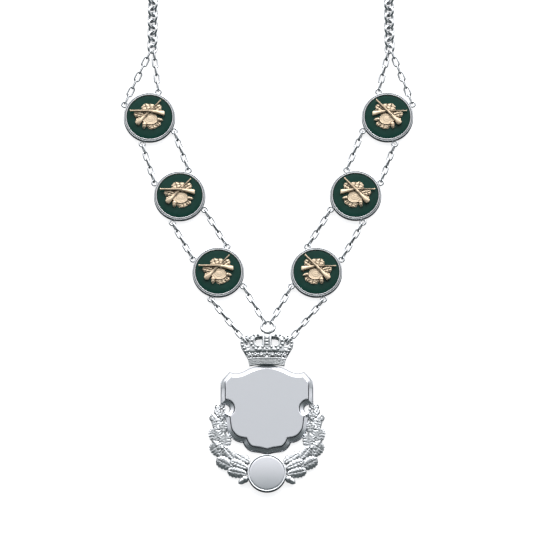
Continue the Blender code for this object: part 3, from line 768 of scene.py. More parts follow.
@dataclass(frozen=True)
class Medallion:
    """A turned bezel with four soldered loops, and its enamel."""

    enamel_radius: float = 15.8
    gap: float = 0.3
    outer_radius: float = 18.1
    floor: float = 2.0
    enamel_base: float = 2.3
    enamel_top: float = 3.2
    crest: float = 3.6
    loop_radius: float = 2.53
    loop_wire: float = 1.35
    loop_sink: float = 0.55
    loop_level: float = 1.88
    segments: int = 112
    loop_angles: tuple[tuple[str, float], ...] = (
        ("outer_top", 151.0), ("inner_top", 72.0),
        ("outer_bottom", 255.5), ("inner_bottom", 330.5),
    )
    # The rim's profile: half widths of the rim from its inner edge, height above the crest
    ridges: Points = (
        (0.00, -0.35), (0.08, -0.12), (0.16, -0.02), (0.22, 0.00), (0.66, 0.00), (0.72, -0.02),
        (0.80, -0.14), (0.88, -0.44), (0.98, -0.48), (1.08, -0.38), (1.16, -0.18), (1.22, -0.12),
        (1.28, -0.11), (1.66, -0.12), (1.74, -0.15), (1.84, -0.28), (1.94, -0.54), (2.00, -0.90),
    )

    def loop_place(self, centre: Vector, side: Side, corner: str) -> Vector:
        """Returns the middle of one loop.

        Args:
            centre: The medallion's middle.
            side: The side of the chain.
            corner: The loop's name.
        """
        angle = math.radians(dict(self.loop_angles)[corner])
        distance = self.outer_radius + self.loop_radius - self.loop_sink
        across = -side.value * distance * math.cos(angle)
        return flat(centre) + Vector((across, distance * math.sin(angle), self.loop_level))

    def rim_profile(self) -> list[Point]:
        """Returns the bezel's profile: the wall, two broad ridges with a groove, and the recess."""
        outer = self.outer_radius
        recess = self.enamel_radius + self.gap
        half = (outer - recess) / 2.0
        rim = [(recess + across * half, self.crest + up) for across, up in self.ridges]
        foot = [(0.0, 0.0), (outer - 0.5, 0.0), (outer - 0.15, 0.12), (outer, 0.45)]
        return [*foot, *reversed(rim), (recess, self.floor), (0.0, self.floor)]

    def build_bezel(self, side: Side, row: Row, centre: Vector) -> None:
        """Makes the bezel of one medallion."""
        name = f"bezel_{side.label}_{row.value}"
        shape = bmesh.new()
        rim = turned(self.rim_profile(), self.segments)
        merge(shape, rim, Matrix.Translation(flat(centre)))
        for corner, _ in self.loop_angles:
            place = Matrix.Translation(self.loop_place(centre, side, corner))
            loop = wire_ring(self.loop_radius, self.loop_wire, segments=28, sides=12)
            merge(shape, loop, place)
        deliver(name + "_rim", shape, POLISHED, [name])

    def build_enamel(self, side: Side, row: Row, centre: Vector) -> None:
        """Makes the enamel of one medallion, a little domed."""
        radius = self.enamel_radius
        top = self.enamel_top
        profile = [
            (0.0, self.enamel_base), (radius, self.enamel_base), (radius, top - 0.25),
            (radius - 0.08, top - 0.14), (radius - 0.30, top - 0.10), (radius * 0.8, top - 0.05),
            (radius * 0.5, top - 0.015), (0.0, top),
        ]
        name = f"enamel_{side.label}_{row.value}"
        deliver(name + "_glass", turned(profile, self.segments), GREEN, [name], flat(centre))


@dataclass(frozen=True)
class Emblem:
    """Two crossed rifles over a target, oak leaves and acorns."""

    base: float = 3.15
    leaf: OakLeaf = OakLeaf(
        lobes=3.5, notch=0.36, crown=0.55, puff=0.24, groove=0.30, thickness=0.6,
        wave=0.22, wave_size=0.9, rows=26, columns=12,
    )
    target_place: Point = (0.3, -1.8)
    target_axes: Point = (5.6, 4.0)
    target_turn: float = -7.0
    target_level: float = 0.3
    # x, y, heading, length, width, level of each leaf
    leaves: Table = (
        (0.4, 2.6, 96.0, 14.0, 12.0, 0.10),
        (0.6, -2.6, 276.0, 9.6, 12.4, 0.05),
        (-6.6, -2.0, 215.0, 6.6, 4.6, 0.55),
        (-7.2, 1.5, 165.0, 7.4, 5.4, 0.75),
        (-2.2, 6.0, 106.0, 7.2, 6.6, 0.60),
        (4.6, 5.6, 36.0, 8.6, 6.2, 0.60),
        (2.2, -6.4, 285.0, 4.8, 7.4, 0.15),
        (5.6, -4.8, 322.0, 4.8, 4.4, 0.15),
    )
    # x, y, heading and radius of each acorn
    acorns: Table = ((7.2, -2.2, 350.0, 1.35), (-3.6, -6.2, 265.0, 1.60))
    acorn_level: float = 0.7
    acorn_segments: int = 12
    # x, y of the muzzle, heading from muzzle to butt, side of the bend
    rifles: Table = ((7.9, 12.0, 225.7, 1.0), (-13.7, 4.1, 0.0, -1.0))
    # Level of the rifle and thickness of its barrel
    over: Point = (1.55, 1.70)
    under: Point = (0.90, 1.25)
    # The parts of a rifle that lies along +X from its muzzle
    full_stock: Points = (
        (8.2, -0.55), (12.4, -0.85), (15.0, -0.75), (17.2, -0.40), (19.6, -0.10), (23.4, 0.10),
        (24.2, 0.50), (24.4, 3.10), (23.7, 3.50), (19.4, 2.10), (16.8, 1.35), (14.2, 1.05),
        (8.2, 0.55),
    )
    slim_stock: Points = (
        (7.4, -0.80), (12.0, -0.90), (16.6, -0.85), (18.4, -1.00), (21.6, -1.50), (23.9, -1.70),
        (24.5, -0.30), (24.0, 1.70), (23.2, 2.00), (19.8, 1.35), (17.0, 1.00), (12.0, 0.85),
        (7.4, 0.75),
    )
    barrel: Points = (
        (0.0, 0.0), (0.52, 0.0), (0.52, 0.5), (0.40, 0.62), (0.44, 12.5), (0.0, 12.5),
    )
    barrel_level: float = 0.30
    bolt: Table = ((14.2, -0.5, 0.7), (14.4, -1.15, 0.65), (14.7, -1.55, 0.45))
    bolt_radius: float = 0.18
    knob: Points = ((0.0, -0.28), (0.24, -0.16), (0.28, 0.0), (0.24, 0.16), (0.0, 0.28))
    knob_place: tuple[float, float, float] = (14.8, -1.65, 0.42)
    breech: Points = ((12.4, -0.42), (15.6, -0.42), (15.6, 0.42), (12.4, 0.42))
    guard_middle: tuple[float, float, float] = (15.6, 1.05, 0.25)
    guard_axes: Point = (0.75, 0.62)
    guard_radius: float = 0.16
    # The target's profile for a radius of 1
    rings: Points = (
        (0.0, -0.3), (1.0, -0.3), (1.0, 0.80), (0.98, 0.92), (0.94, 0.98), (0.90, 0.96),
        (0.87, 0.88), (0.80, 0.86), (0.70, 0.90), (0.62, 0.91), (0.58, 0.84), (0.52, 0.84),
        (0.46, 0.91), (0.34, 0.94), (0.28, 0.88), (0.22, 0.92), (0.0, 0.96),
    )

    def rifle(self, stock: Points, barrel_scale: float) -> BMesh:
        """Makes a rifle lying along +X from its muzzle, bending towards +Y at the wrist.

        Args:
            stock: The outline of its stock.
            barrel_scale: How much thicker than usual its barrel is.
        """
        shape = bmesh.new()
        merge(shape, pillow(stock, low=-0.9, high=0.72, rounding=0.30))
        raised = Matrix.Translation((0, 0, self.barrel_level))
        thick = Matrix.Diagonal((barrel_scale, barrel_scale, 1, 1))
        lay = raised @ Matrix.Rotation(math.pi / 2, 4, "Y") @ thick
        merge(shape, turned(self.barrel, segments=12), lay)
        merge(shape, rail([Vector(spot) for spot in self.bolt], self.bolt_radius, sides=6))
        merge(shape, turned(self.knob, segments=8), Matrix.Translation(self.knob_place))
        merge(shape, pillow(self.breech, low=0.3, high=1.02, rounding=0.18))
        long, tall = self.guard_axes
        guard = []
        for turn in (math.pi * step / 8 for step in range(9)):
            offset = Vector((long * math.cos(turn), tall * math.sin(turn), 0.0))
            guard.append(Vector(self.guard_middle) + offset)
        merge(shape, rail(guard, self.guard_radius, sides=6))
        return shape

    def target(self) -> BMesh:
        """Makes the oval target, a turned dish of rings drawn out in X."""
        shape = turned(self.rings, segments=40)
        wide, tall = self.target_axes
        bmesh.ops.scale(shape, vec=(wide, tall, 1.0), verts=shape.verts)
        return shape

    def build(self, side: Side, row: Row, centre: Vector) -> None:
        """Makes the emblem of one medallion."""
        hand = Matrix.Translation(flat(centre)) @ Matrix.Diagonal((-side.value, 1, 1, 1))
        shape = bmesh.new()
        for x, y, heading, length, width, level in self.leaves:
            place = flat_place(x, y, heading, self.base + level)
            merge(shape, self.leaf.build(length, width, heading), hand @ place)
        for x, y, heading, radius in self.acorns:
            place = flat_place(x, y, heading, self.base + self.acorn_level)
            merge(shape, Acorn(self.acorn_segments).build(radius), hand @ place)
        place = flat_place(*self.target_place, self.target_turn, self.base + self.target_level)
        merge(shape, self.target(), hand @ place)
        stocks = (self.slim_stock, self.full_stock)
        order = (self.under, self.over) if side is Side.LEFT else (self.over, self.under)
        for stock, lay, (level, barrel_scale) in zip(stocks, self.rifles, order):
            x, y, heading, bend = lay
            place = flat_place(x, y, heading, self.base + level) @ Matrix.Diagonal((1, bend, 1, 1))
            merge(shape, self.rifle(stock, barrel_scale), hand @ place)
        name = f"emblem_{side.label}_{row.value}"
        deliver(name + "_relief", shape, GILT, [name], angle=45.0)


# Chains


@dataclass(frozen=True)
class FineChain:
    """Two rows of oval links on each side, from the end rings down to the crown.

    The links stand on edge and lie flat by turns, and those that lie are wider.
    """

    wire: float = 1.2
    width: float = 3.6
    lying: float = 4.8
    slack: float = 0.05
    roll: float = 75.0
    wobble: float = 4.0
    # Links in each stretch of a row, from the end ring down
    counts: tuple[tuple[str, tuple[int, ...]], ...] = (
        ("outer", (7, 5, 5, 7)), ("inner", (5, 5, 5, 5)),
    )

    def link(self, shape: BMesh, start: Vector, end: Vector, roll: float, width: float) -> None:
        """Adds one link between the middles of the wire at its two ends.

        Args:
            shape: What the link is added to.
            start: The middle of the wire at one end.
            end: The same at the other end.
            roll: The turn about the link's length, 0 with the link lying flat.
            width: The link's width.
        """
        straight = (end - start).length - (width - self.wire)
        place = threaded((start + end) / 2, (end - start).normalized(), roll)
        link = wire_ring(width / 2, self.wire, segments=20, sides=8, straight=straight)
        merge(shape, link, place)

    def stretch(
        self, shape: BMesh, start: Vector, start_wire: float, end: Vector, end_wire: float,
        count: int, side: Side, seed: int,
    ) -> None:
        """Adds the links between two wires that hold them.

        Args:
            shape: What the links are added to.
            start: The middle of the wire that holds the first link.
            start_wire: That wire's thickness.
            end: The middle of the wire that holds the last link.
            end_wire: That wire's thickness.
            count: How many links there are.
            side: The side of the chain.
            seed: What the links' small rolls are drawn from.
        """
        draw = random.Random(seed)
        along = (end - start).normalized()
        first = start - along * (start_wire + self.wire) / 2
        last = end + along * (end_wire + self.wire) / 2
        reach = ((last - first).length + (count - 1) * self.wire) / count
        for number in range(count):
            low = first + along * number * (reach - self.wire)
            if number % 2:
                width, roll = self.lying, self.roll - 90.0
            else:
                held = start_wire if number == 0 else end_wire if number == count - 1 else 0.0
                width, roll = max(self.width, held + 2 * self.wire + self.slack), self.roll
            roll = -side.value * roll + draw.uniform(-self.wobble, self.wobble)
            self.link(shape, low, low + along * reach, roll, width)


@dataclass(frozen=True)
class NeckChain:
    """Round rings threaded through one another, with an end ring on each side."""

    outer: float = 4.2
    wire: float = 1.9
    roll: float = 36.0
    pitch: float = 4.6
    # How far round the end ring a fine chain grips it, in degrees from its lowest point
    outer_grip: float = 36.0
    inner_grip: float = 24.0
    clasp_outer: float = 6.65
    clasp_wire: float = 2.4
    # How near another ring must lie to darken a ring with painted shade
    relief_reach: float = 2.4
    route_steps: int = 40
    # The chain's way up from each end ring, and then its way to the clasp from each side
    rise: tuple[tuple[Side, Points], ...] = (
        (Side.LEFT, ((0.2, 32.0), (0.4, 68.7), (0.5, 108.7))),
        (Side.RIGHT, ((-0.3, 32.1), (-0.5, 68.8), (-0.6, 108.8))),
    )
    back: Points = ((81.6, -89.0), (72.8, -51.0), (50.8, -19.0), (23.8, -3.0))

    @property
    def mean(self) -> float:
        """The radius of the wire's middle in a ring."""
        return self.outer - self.wire / 2

    @property
    def level(self) -> float:
        """The height of a ring's middle when the ring leans on the table."""
        return self.mean * math.sin(math.radians(self.roll)) + self.wire / 2

    def end_place(self, side: Side) -> Vector:
        """Returns the middle of an end ring."""
        spot = flat(middle_of(f"end_ring_{side.label}"))
        return spot + Vector((0, 0, self.level))

    def grip_place(self, side: Side, hand: str) -> Vector:
        """Returns where a fine chain holds an end ring, by the hand outer or inner."""
        roll = math.radians(self.roll)
        lift, lean = (1, self.outer_grip) if hand == "outer" else (-1, self.inner_grip)
        across = lift * self.mean * math.sin(math.radians(lean))
        down = self.mean * math.cos(math.radians(lean))
        step = Vector((side.value * across * math.cos(roll), -down, across * math.sin(roll)))
        return self.end_place(side) + step

    def route(self, side: Side) -> list[Vector]:
        """Returns closely spaced points along one half of the neck chain."""
        start = self.end_place(side)
        clasp = middle_of("clasp_ring")
        sign = -side.value
        grip = (self.clasp_outer - self.clasp_wire / 2, 0.0)
        points = [(start.x, start.y)]
        points += [(start.x + across, start.y + up) for across, up in dict(self.rise)[side]]
        points += [(clasp.x - sign * across, clasp.y + up) for across, up in (*self.back, grip)]
        return [Vector((x, y, self.level)) for x, y in smooth_run(points, self.route_steps)]

    def build_half(self, side: Side) -> None:
        """Makes an end ring and the rings from there to the clasp."""
        path = self.route(side)
        lengths = [0.0]
        for before, after in zip(path[:-1], path[1:]):
            lengths.append(lengths[-1] + (after - before).length)
        last = lengths[-1] - self.mean + (self.clasp_wire + self.wire) / 2
        count = round(last / self.pitch)
        shape = bmesh.new()
        end_ring = bmesh.new()
        index = 0
        for number in range(count + 1):
            wanted = last * number / count
            while index < len(lengths) - 2 and lengths[index + 1] < wanted:
                index += 1
            share = (wanted - lengths[index]) / (lengths[index + 1] - lengths[index])
            spot = path[index].lerp(path[index + 1], share)
            along = (path[index + 1] - path[index]).normalized()
            roll = self.roll * (-1 if number % 2 else 1) * -side.value
            ring = wire_ring(self.outer, self.wire, segments=18, sides=8)
            merge(shape if number else end_ring, ring, threaded(spot, along, roll))
        for name, part, piece in (("end_ring", "wire", end_ring), ("neck_chain", "rings", shape)):
            node = f"{name}_{side.label}"
            deliver(f"{node}_{part}", piece, POLISHED, [node], reach=self.relief_reach)

    def build_clasp(self) -> None:
        """Makes the plain ring that closes the chain."""
        shape = wire_ring(self.clasp_outer, self.clasp_wire, segments=48, sides=16)
        place = flat(middle_of("clasp_ring")) + Vector((0, 0, self.clasp_wire / 2))
        deliver("clasp_ring_wire", shape, POLISHED, ["clasp_ring"], place)


# Pendant


@dataclass(frozen=True)
class RoundPlate:
    """The blank round plate at the foot of the pendant, in its cup."""

    radius: float = 12.25
    gap: float = 0.13
    cup_radius: float = 13.5
    cup_base: float = 1.5
    cup_floor: float = 3.5
    cup_top: float = 5.2
    plate_base: float = 3.8
    dome: float = 0.34
    rise: float = 1.35
    segments: int = 96
    dome_steps: int = 12

    def cup_profile(self) -> list[Point]:
        """Returns the cup's profile: the rounded wall and the recess."""
        recess = self.radius + self.gap
        outer, base, top = self.cup_radius, self.cup_base, self.cup_top
        return [
            (0.0, base), (outer - 0.3, base), (outer, base + 0.3), (outer, top - 0.75),
            (outer - 0.06, top - 0.45), (outer - 0.20, top - 0.18), (outer - 0.42, top - 0.02),
            (outer - 0.62, top), (recess + 0.16, top - 0.12), (recess, top - 0.40),
            (recess, self.cup_floor), (0.0, self.cup_floor),
        ]

    def plate_profile(self) -> list[Point]:
        """Returns the plate's profile: the wall and the domed face."""
        radius, base = self.radius, self.plate_base
        edge = base + self.rise - self.dome
        shares = [1.0 - step / self.dome_steps for step in range(self.dome_steps)]
        face = [((radius - 0.12) * out, edge + self.dome * (1.0 - out * out)) for out in shares]
        wall = [(0.0, base), (radius, base), (radius, edge - 0.12), (radius - 0.04, edge - 0.03)]
        return [*wall, *face, (0.0, base + self.rise)]

    def build(self, origin: Vector) -> None:
        """Makes the cup and the plate at the pendant's origin."""
        cup = turned(self.cup_profile(), self.segments)
        deliver("plate_cup_rim", cup, POLISHED, ["plate_cup"], origin, angle=50.0)
        plate = turned(self.plate_profile(), self.segments)
        deliver("blank_plate_face", plate, SATIN, ["blank_plate"], origin)


@dataclass(frozen=True)
class Shield:
    """The blank shield, its face raised inside a wide hollow bevel."""

    width: float = 64.7
    height: float = 64.8
    tip: float = 13.8
    base: float = 1.5
    edge: float = 1.3
    # Shares of a notch's depth: at the sides, how much less where the rim faces up, at the tip
    notch_side: float = 0.90
    notch_turn: float = 0.75
    tip_notch: float = 0.4
    # Where the rim faces up: how much narrower the bevel is, and how soon it has that height
    top_share: float = 0.20
    top_turn: float = 1.7
    # The bevel's steps: inset, height over the edge, the same where it faces up, notch
    levels: Table = (
        (0.00, -1.05, 0.75, 0.0), (0.12, -0.85, 0.95, 0.0), (0.60, -0.05, 0.95, 0.0),
        (0.70, 0.10, 0.95, 0.0), (1.15, 0.30, 0.95, 0.0), (1.30, 0.34, 0.97, 0.0),
        (1.65, 0.40, 1.02, 0.0), (1.95, 0.47, 1.06, 0.0), (2.70, 0.72, 1.17, 0.0),
        (3.05, 0.79, 1.23, 0.0), (3.12, 0.82, 1.24, 0.36), (3.36, 0.88, 1.28, 0.36),
        (3.74, 1.30, 1.35, 0.0), (3.84, 1.37, 1.37, 0.0), (4.00, 1.40, 1.40, 0.0),
        (4.40, 1.40, 1.40, 0.0),
    )
    # The shape is cut into squares, so that its shading stays even
    square: float = 5.4
    squares_from: float = 5.1
    bite_radius: float = 3.2
    bite_end: float = 74.0
    bite_steps: int = 18
    curve_steps: int = 4
    # The right half of the outline, in shares of the half width and the height
    foot: Points = (
        (0.000, 0.000), (0.142, 0.022), (0.328, 0.036), (0.415, 0.060), (0.480, 0.098),
        (0.516, 0.134),
    )
    flank: Points = (
        (0.516, 0.134), (0.600, 0.142), (0.700, 0.166), (0.790, 0.210), (0.850, 0.262),
        (0.878, 0.330), (0.898, 0.418),
    )
    bite: Point = (0.902, 0.512)
    corner: Points = (
        (1.000, 0.570), (0.999, 0.730), (0.998, 0.817), (0.956, 0.841), (0.806, 0.925),
    )
    shoulder: Points = (
        (0.722, 0.912), (0.652, 0.910), (0.560, 0.920), (0.480, 0.938), (0.377, 0.964),
        (0.180, 0.998), (0.000, 1.010),
    )

    def spot(self, share: Point) -> Point:
        """Turns shares of the half width and the height into a place."""
        return share[0] * self.width / 2, self.tip + share[1] * self.height

    def outline(self, inset: float) -> list[Point]:
        """Returns the shield's outline, drawn in by an inset, counter-clockwise from its tip."""
        curves = (self.foot, self.flank, self.shoulder)
        spots = [[self.spot(share) for share in curve] for curve in curves]
        foot, flank, shoulder = (smooth_run(curve, self.curve_steps) for curve in spots)
        low = foot + flank[1:]
        half = low + [self.spot(share) for share in self.corner] + shoulder
        whole = offset_outline(half + mirrored(half)[1:-1], -inset)
        low, high = whole[:len(low)], whole[len(low):len(half)]
        centre = self.spot(self.bite)
        radius = self.bite_radius + inset
        side = self.width / 2 - inset
        start = 180.0 + math.degrees(math.acos((centre[0] - low[-1][0]) / radius))
        end = max(self.bite_end, math.degrees(math.acos(min(1.0, (side - centre[0]) / radius))))
        bite = arc(centre, radius, start, end, self.bite_steps)
        low[-1] = (low[-1][0], min(low[-1][1], bite[0][1] - 0.1))
        high[0] = (side, max(self.spot(self.corner[0])[1], bite[-1][1] + 0.1))
        half = low + bite + high
        return half + mirrored(half)[1:-1]

    def build(self, origin: Vector) -> None:
        """Makes the shield, from its back up over the hollow bevel to its face."""
        edge = self.base + self.edge
        rim = self.outline(0.0)
        pairs = zip(rim, self.outline(1.0))
        facing = [(Vector(here) - Vector(inner)).normalized().y for here, inner in pairs]
        shares = [min(1.0, max(0.0, self.notch_side - self.notch_turn * up)) for up in facing]
        shares[0] = self.tip_notch
        shape = bmesh.new()
        face = shape.faces.new([shape.verts.new((x, y, self.base)) for x, y in rim])
        for number, (inset, height, raised, notch) in enumerate(self.levels):
            below = face
            corners = [tuple(vert.co) for vert in below.verts]
            grown = bmesh.ops.extrude_face_region(shape, geom=[below])["geom"]
            face = next(item for item in grown if isinstance(item, bmesh.types.BMFace))
            copies = {tuple(vert.co): vert for vert in face.verts}
            points = zip(corners, self.outline(inset), rim, shares, facing)
            for old, (x, y), start, share, up in points:
                full = 1.0 - self.top_share * max(0.0, up)
                x, y = start[0] + full * (x - start[0]), start[1] + full * (y - start[1])
                turned_up = min(1.0, self.top_turn * max(0.0, up))
                level = edge + height + turned_up * (raised - height)
                copies[old].co = (x, y, level - notch * share)
            if number:
                bmesh.ops.delete(shape, geom=[below], context="FACES_ONLY")
        bmesh.ops.recalc_face_normals(shape, faces=shape.faces)
        sliced(shape, 0, [step * self.square for step in range(-5, 6)])
        first = self.tip + self.squares_from
        sliced(shape, 1, [first + step * self.square for step in range(11)])
        deliver("shield_face", shape, SATIN, ["shield"], origin, angle=25.0)


@dataclass(frozen=True)
class Crown:
    """A domed and pierced crown with beaded arches, a lattice and a plain band."""

    width: float = 37.2
    height: float = 23.2
    base: float = 78.9
    edge: float = 2.4
    belly: float = 3.88
    # How far the top turns over, and from which share of the height
    turn_over: float = 1.1
    turn_from: float = 0.72
    # How steeply the foot leans in, and below which height
    foot_lean: float = 0.06
    lean_from: float = 4.6
    foot_arch: float = 0.95
    arch_fall: float = 0.12
    foot_hollow: float = 4.2
    foot_sheet: float = 1.2
    trough: float = 0.9
    trough_ends: Point = (5.0, 8.3)
    slice_width: float = 1.0
    back_layer: float = 2.4
    back_reach: float = 0.55
    ring_outer: float = 5.4
    ring_wire: float = 1.9
    ring_level: float = 3.4
    ring_aside: float = 0.7
    ring_sink: float = 1.2
    ring_grip: float = 29.0
    lug_rise: float = 0.9
    lug_lean: float = 12.0
    # How far round the foot of the ring the lug reaches to each side, in degrees
    lug_reach: float = 80.0
    hook: Point = (0.76, 0.69)
    hook_level: float = 2.6
    hook_wire: float = 0.4
    # The tab behind the shield: half width, half length, height of its back and its front
    tab: tuple[float, ...] = (4.5, 4.5, 0.3, 1.2)
    band_lift: float = 0.45
    band_top: float = 4.3
    band_widening: float = 0.075
    band_sheet: float = 1.2
    # Level up the band and radius of its lines
    band_lines: Points = ((4.35, 0.36), (3.10, 0.17), (2.20, 0.17), (1.25, 0.17), (0.30, 0.17))
    line_widening: float = 0.0175
    foot: Points = ((0.0, -0.25), (3.0, -0.30), (6.0, -0.48), (9.0, -0.70), (12.2, -1.05))
    half_outline: Points = (
        (13.4, 5.2), (16.1, 9.9), (17.9, 13.0), (18.6, 16.6), (18.2, 19.6), (16.6, 21.9),
        (14.6, 22.9), (12.6, 22.5), (11.4, 21.9), (10.4, 22.6), (8.4, 23.2), (6.6, 22.9),
        (5.4, 22.7), (4.0, 23.3), (1.8, 23.4),
    )
    large_gap: Points = (
        (3.0, 13.4), (4.5, 12.7), (6.3, 13.1), (7.9, 14.6), (8.7, 16.7), (8.4, 18.6), (7.0, 19.7),
        (4.9, 19.9), (3.0, 19.5),
    )
    small_gap: Points = (
        (12.5, 13.2), (14.2, 13.4), (15.7, 15.0), (15.8, 16.9), (14.5, 18.2), (12.8, 18.0),
        (11.9, 16.2), (11.9, 14.4),
    )
    # How far outside a gap the middle of its rim lies
    large_rim: float = 0.55
    small_rim: float = 0.45
    rim_radius: float = 0.34
    # Beads of one half: across from the middle, up from the foot, radius
    beads: Table = (
        (9.2, 21.4, 0.85), (6.3, 21.4, 0.90), (12.1, 19.6, 0.85), (10.6, 17.3, 1.00),
        (10.8, 14.8, 1.10), (9.6, 12.7, 1.00), (7.7, 10.9, 1.00), (17.3, 16.6, 0.95),
        (17.2, 14.2, 1.00), (15.8, 12.0, 1.10), (15.0, 9.8, 0.95), (16.4, 18.9, 0.85),
        (14.5, 20.8, 0.80), (6.2, 12.9, 0.80), (3.2, 12.4, 0.75), (2.0, 7.3, 0.62),
        (3.9, 6.3, 0.95), (6.1, 7.2, 0.68), (8.2, 6.2, 0.85), (10.1, 7.3, 0.65), (12.6, 6.4, 0.85),
        (14.1, 7.9, 0.65),
    )
    middle_beads: tuple[float, ...] = (14.6, 16.8, 19.0)
    middle_bead: tuple[float, ...] = (1.35, 0.95, 0.9, 1)
    bead_scale: float = 1.12
    bead_lift: float = 0.12
    # Petals of one half: across, up, heading, length, width
    petals: Table = (
        (12.6, 10.4, 150.0, 4.6, 2.8), (4.6, 10.6, 160.0, 4.4, 2.8), (1.3, 10.4, 55.0, 3.2, 1.8),
        (10.9, 20.6, 20.0, 2.6, 1.6), (14.2, 19.2, 40.0, 2.8, 1.8),
    )
    petal_height: float = 0.28
    petal_sink: float = 0.05
    # The middle's strips: across and radius, and the places up from the foot
    strip: Point = (2.25, 0.50)
    strip_rows: tuple[float, ...] = (12.4, 14, 16, 18, 20, 21.6)
    chevron: Points = ((0.0, 12.0), (1.0, 11.0), (2.1, 9.9))
    chevron_radius: float = 0.38
    zigzag_radius: float = 0.50
    zigzag: Points = (
        (0.0, 8.5), (1.9, 5.3), (3.9, 8.3), (5.9, 5.2), (8.1, 8.4), (10.2, 5.2), (12.4, 8.7),
        (13.7, 6.4),
    )

    def dome(self, x: float, y: float) -> float:
        """Returns the height of the domed front at a place, by distance from the foot."""
        share = y / self.height
        back = max(0.0, (share - self.turn_from) / (1.0 - self.turn_from))
        fall = self.turn_over * back * back + self.foot_lean * max(0.0, self.lean_from - y)
        return self.edge + self.belly * (1.0 - (2.0 * x / self.width) ** 2) - fall

    def front(self, x: float, y: float) -> float:
        """Returns the height of the front behind the lattice's trough."""
        low, high = self.trough_ends
        inside = min(1.0, max(0.0, y - low + 0.5)) * min(1.0, max(0.0, high - y + 0.5))
        return self.dome(x, y) - self.trough * inside

    def on_dome(self, x: float, y: float, sink: float = 0.0) -> Vector:
        """Returns a place on the dome, sunk into it by a depth."""
        return Vector((x, y, self.dome(x, y) - sink))

    def ring_y(self) -> float:
        """Returns how far above the foot the middle of the ring lies."""
        return self.height + self.ring_outer - self.ring_sink

    def grip(self, side: Side, hand: str, origin: Vector) -> tuple[Vector, float]:
        """Returns where the crown holds a row of fine chain.

        Args:
            side: The side of the chain.
            hand: Outer, held by the crown's side, or inner, held by its ring.
            origin: The pendant's origin.

        Returns:
            The place, and the thickness of the wire there.
        """
        foot = origin + Vector((0, self.base, 0))
        if hand == "outer":
            x, y = self.hook
            place = (side.value * x * self.width / 2, y * self.height, self.hook_level)
            return foot + Vector(place), self.hook_wire
        turn = math.radians(self.ring_grip)
        mean = self.ring_outer - self.ring_wire / 2
        across = self.ring_aside + side.value * mean * math.sin(turn)
        place = (across, self.ring_y() + mean * math.cos(turn), self.ring_level)
        return foot + Vector(place), self.ring_wire

    def arched(self, level: float, x: float) -> float:
        """Returns the height up the front of a line that follows the arch of the foot."""
        arch = self.foot_arch * (1.0 - self.arch_fall * level)
        return level - arch * (x / self.foot[-1][0]) ** 2

    def gap_loops(self) -> list[list[Point]]:
        """Returns the smooth outlines of the large and the small gap of one half."""
        gaps = (self.large_gap, self.small_gap)
        return [smooth_run([*gap, gap[0]], 3)[:-1] for gap in gaps]

    def body(self) -> BMesh:
        """Makes the pierced body with its domed front and its back layer."""
        half = [*self.foot, *self.half_outline]
        outline = half + mirrored(half)[:-1]
        gaps = [side for loop in self.gap_loops() for side in (loop, mirrored(loop))]
        shape = slab(outline, gaps, low=0.0, high=1.0)
        steps = int(self.width / 2 / self.slice_width)
        sliced(shape, 0, [self.slice_width * step for step in range(-steps, steps + 1)])
        sliced(shape, 1, [self.slice_width * (step + 0.5) for step in range(int(self.height))])
        for vert in shape.verts:
            front = self.front(vert.co.x, vert.co.y)
            under = front - self.foot_sheet if vert.co.y < self.foot_hollow else 0.0
            vert.co.z = front if vert.co.z > 0.5 else under
        soften(shape, width=0.18)
        holes = [offset_outline(loop, -self.back_reach) for loop in gaps]
        rim = [(x, max(y, self.foot_hollow)) for x, y in offset_outline(outline, -self.back_reach)]
        back = slab(rim, holes, low=0.05, high=self.back_layer)
        soften(back, width=0.12)
        merge(shape, back)
        return shape

    def band(self, shape: BMesh) -> None:
        """Adds the plain band over the foot, with its fine lines."""
        run = [self.foot[-1][0] * step / 12 for step in range(-12, 13)]
        low = [(x, self.arched(self.foot[0][1], x)) for x in run]
        wide = 1.0 + self.band_widening
        high = [(x * wide, self.arched(self.band_top, x)) for x in reversed(run)]
        collar = slab(low + high, (), low=0.0, high=1.0)
        sliced(collar, 0, run[1:-1])
        sliced(collar, 1, [step * 0.6 for step in range(-2, 8)])
        soften(collar, width=0.15)
        for vert in collar.verts:
            front = self.dome(vert.co.x, vert.co.y) + self.band_lift
            vert.co.z = front - self.band_sheet * (1.0 - vert.co.z)
        merge(shape, collar)
        sink = 0.05 - self.band_lift
        for level, radius in self.band_lines:
            wide = 1.0 + self.line_widening * level
            line = [self.on_dome(x * wide, self.arched(level, x), sink) for x in run]
            merge(shape, rail(line, radius))

    def rails(self, shape: BMesh) -> None:
        """Adds the raised rims of the gaps, the strips of the middle and the zigzag."""
        strip_x, strip_radius = self.strip
        for sign in (-1, 1):
            for loop, reach in zip(self.gap_loops(), (self.large_rim, self.small_rim)):
                rim = [self.on_dome(sign * x, y, 0.20) for x, y in offset_outline(loop, reach)]
                merge(shape, rail(rim if sign > 0 else rim[::-1], self.rim_radius, closed=True))
            strip = [self.on_dome(sign * strip_x, y, 0.10) for y in self.strip_rows]
            merge(shape, rail(strip, strip_radius))
            for first, second in zip(self.zigzag[:-1], self.zigzag[1:]):
                run = [Vector(first).lerp(Vector(second), step / 3) for step in range(4)]
                line = [self.on_dome(sign * spot.x, spot.y, 0.22) for spot in run]
                merge(shape, rail(line, self.zigzag_radius))
            chevron = [self.on_dome(sign * x, y, 0.05) for x, y in self.chevron]
            merge(shape, rail(chevron, self.chevron_radius))

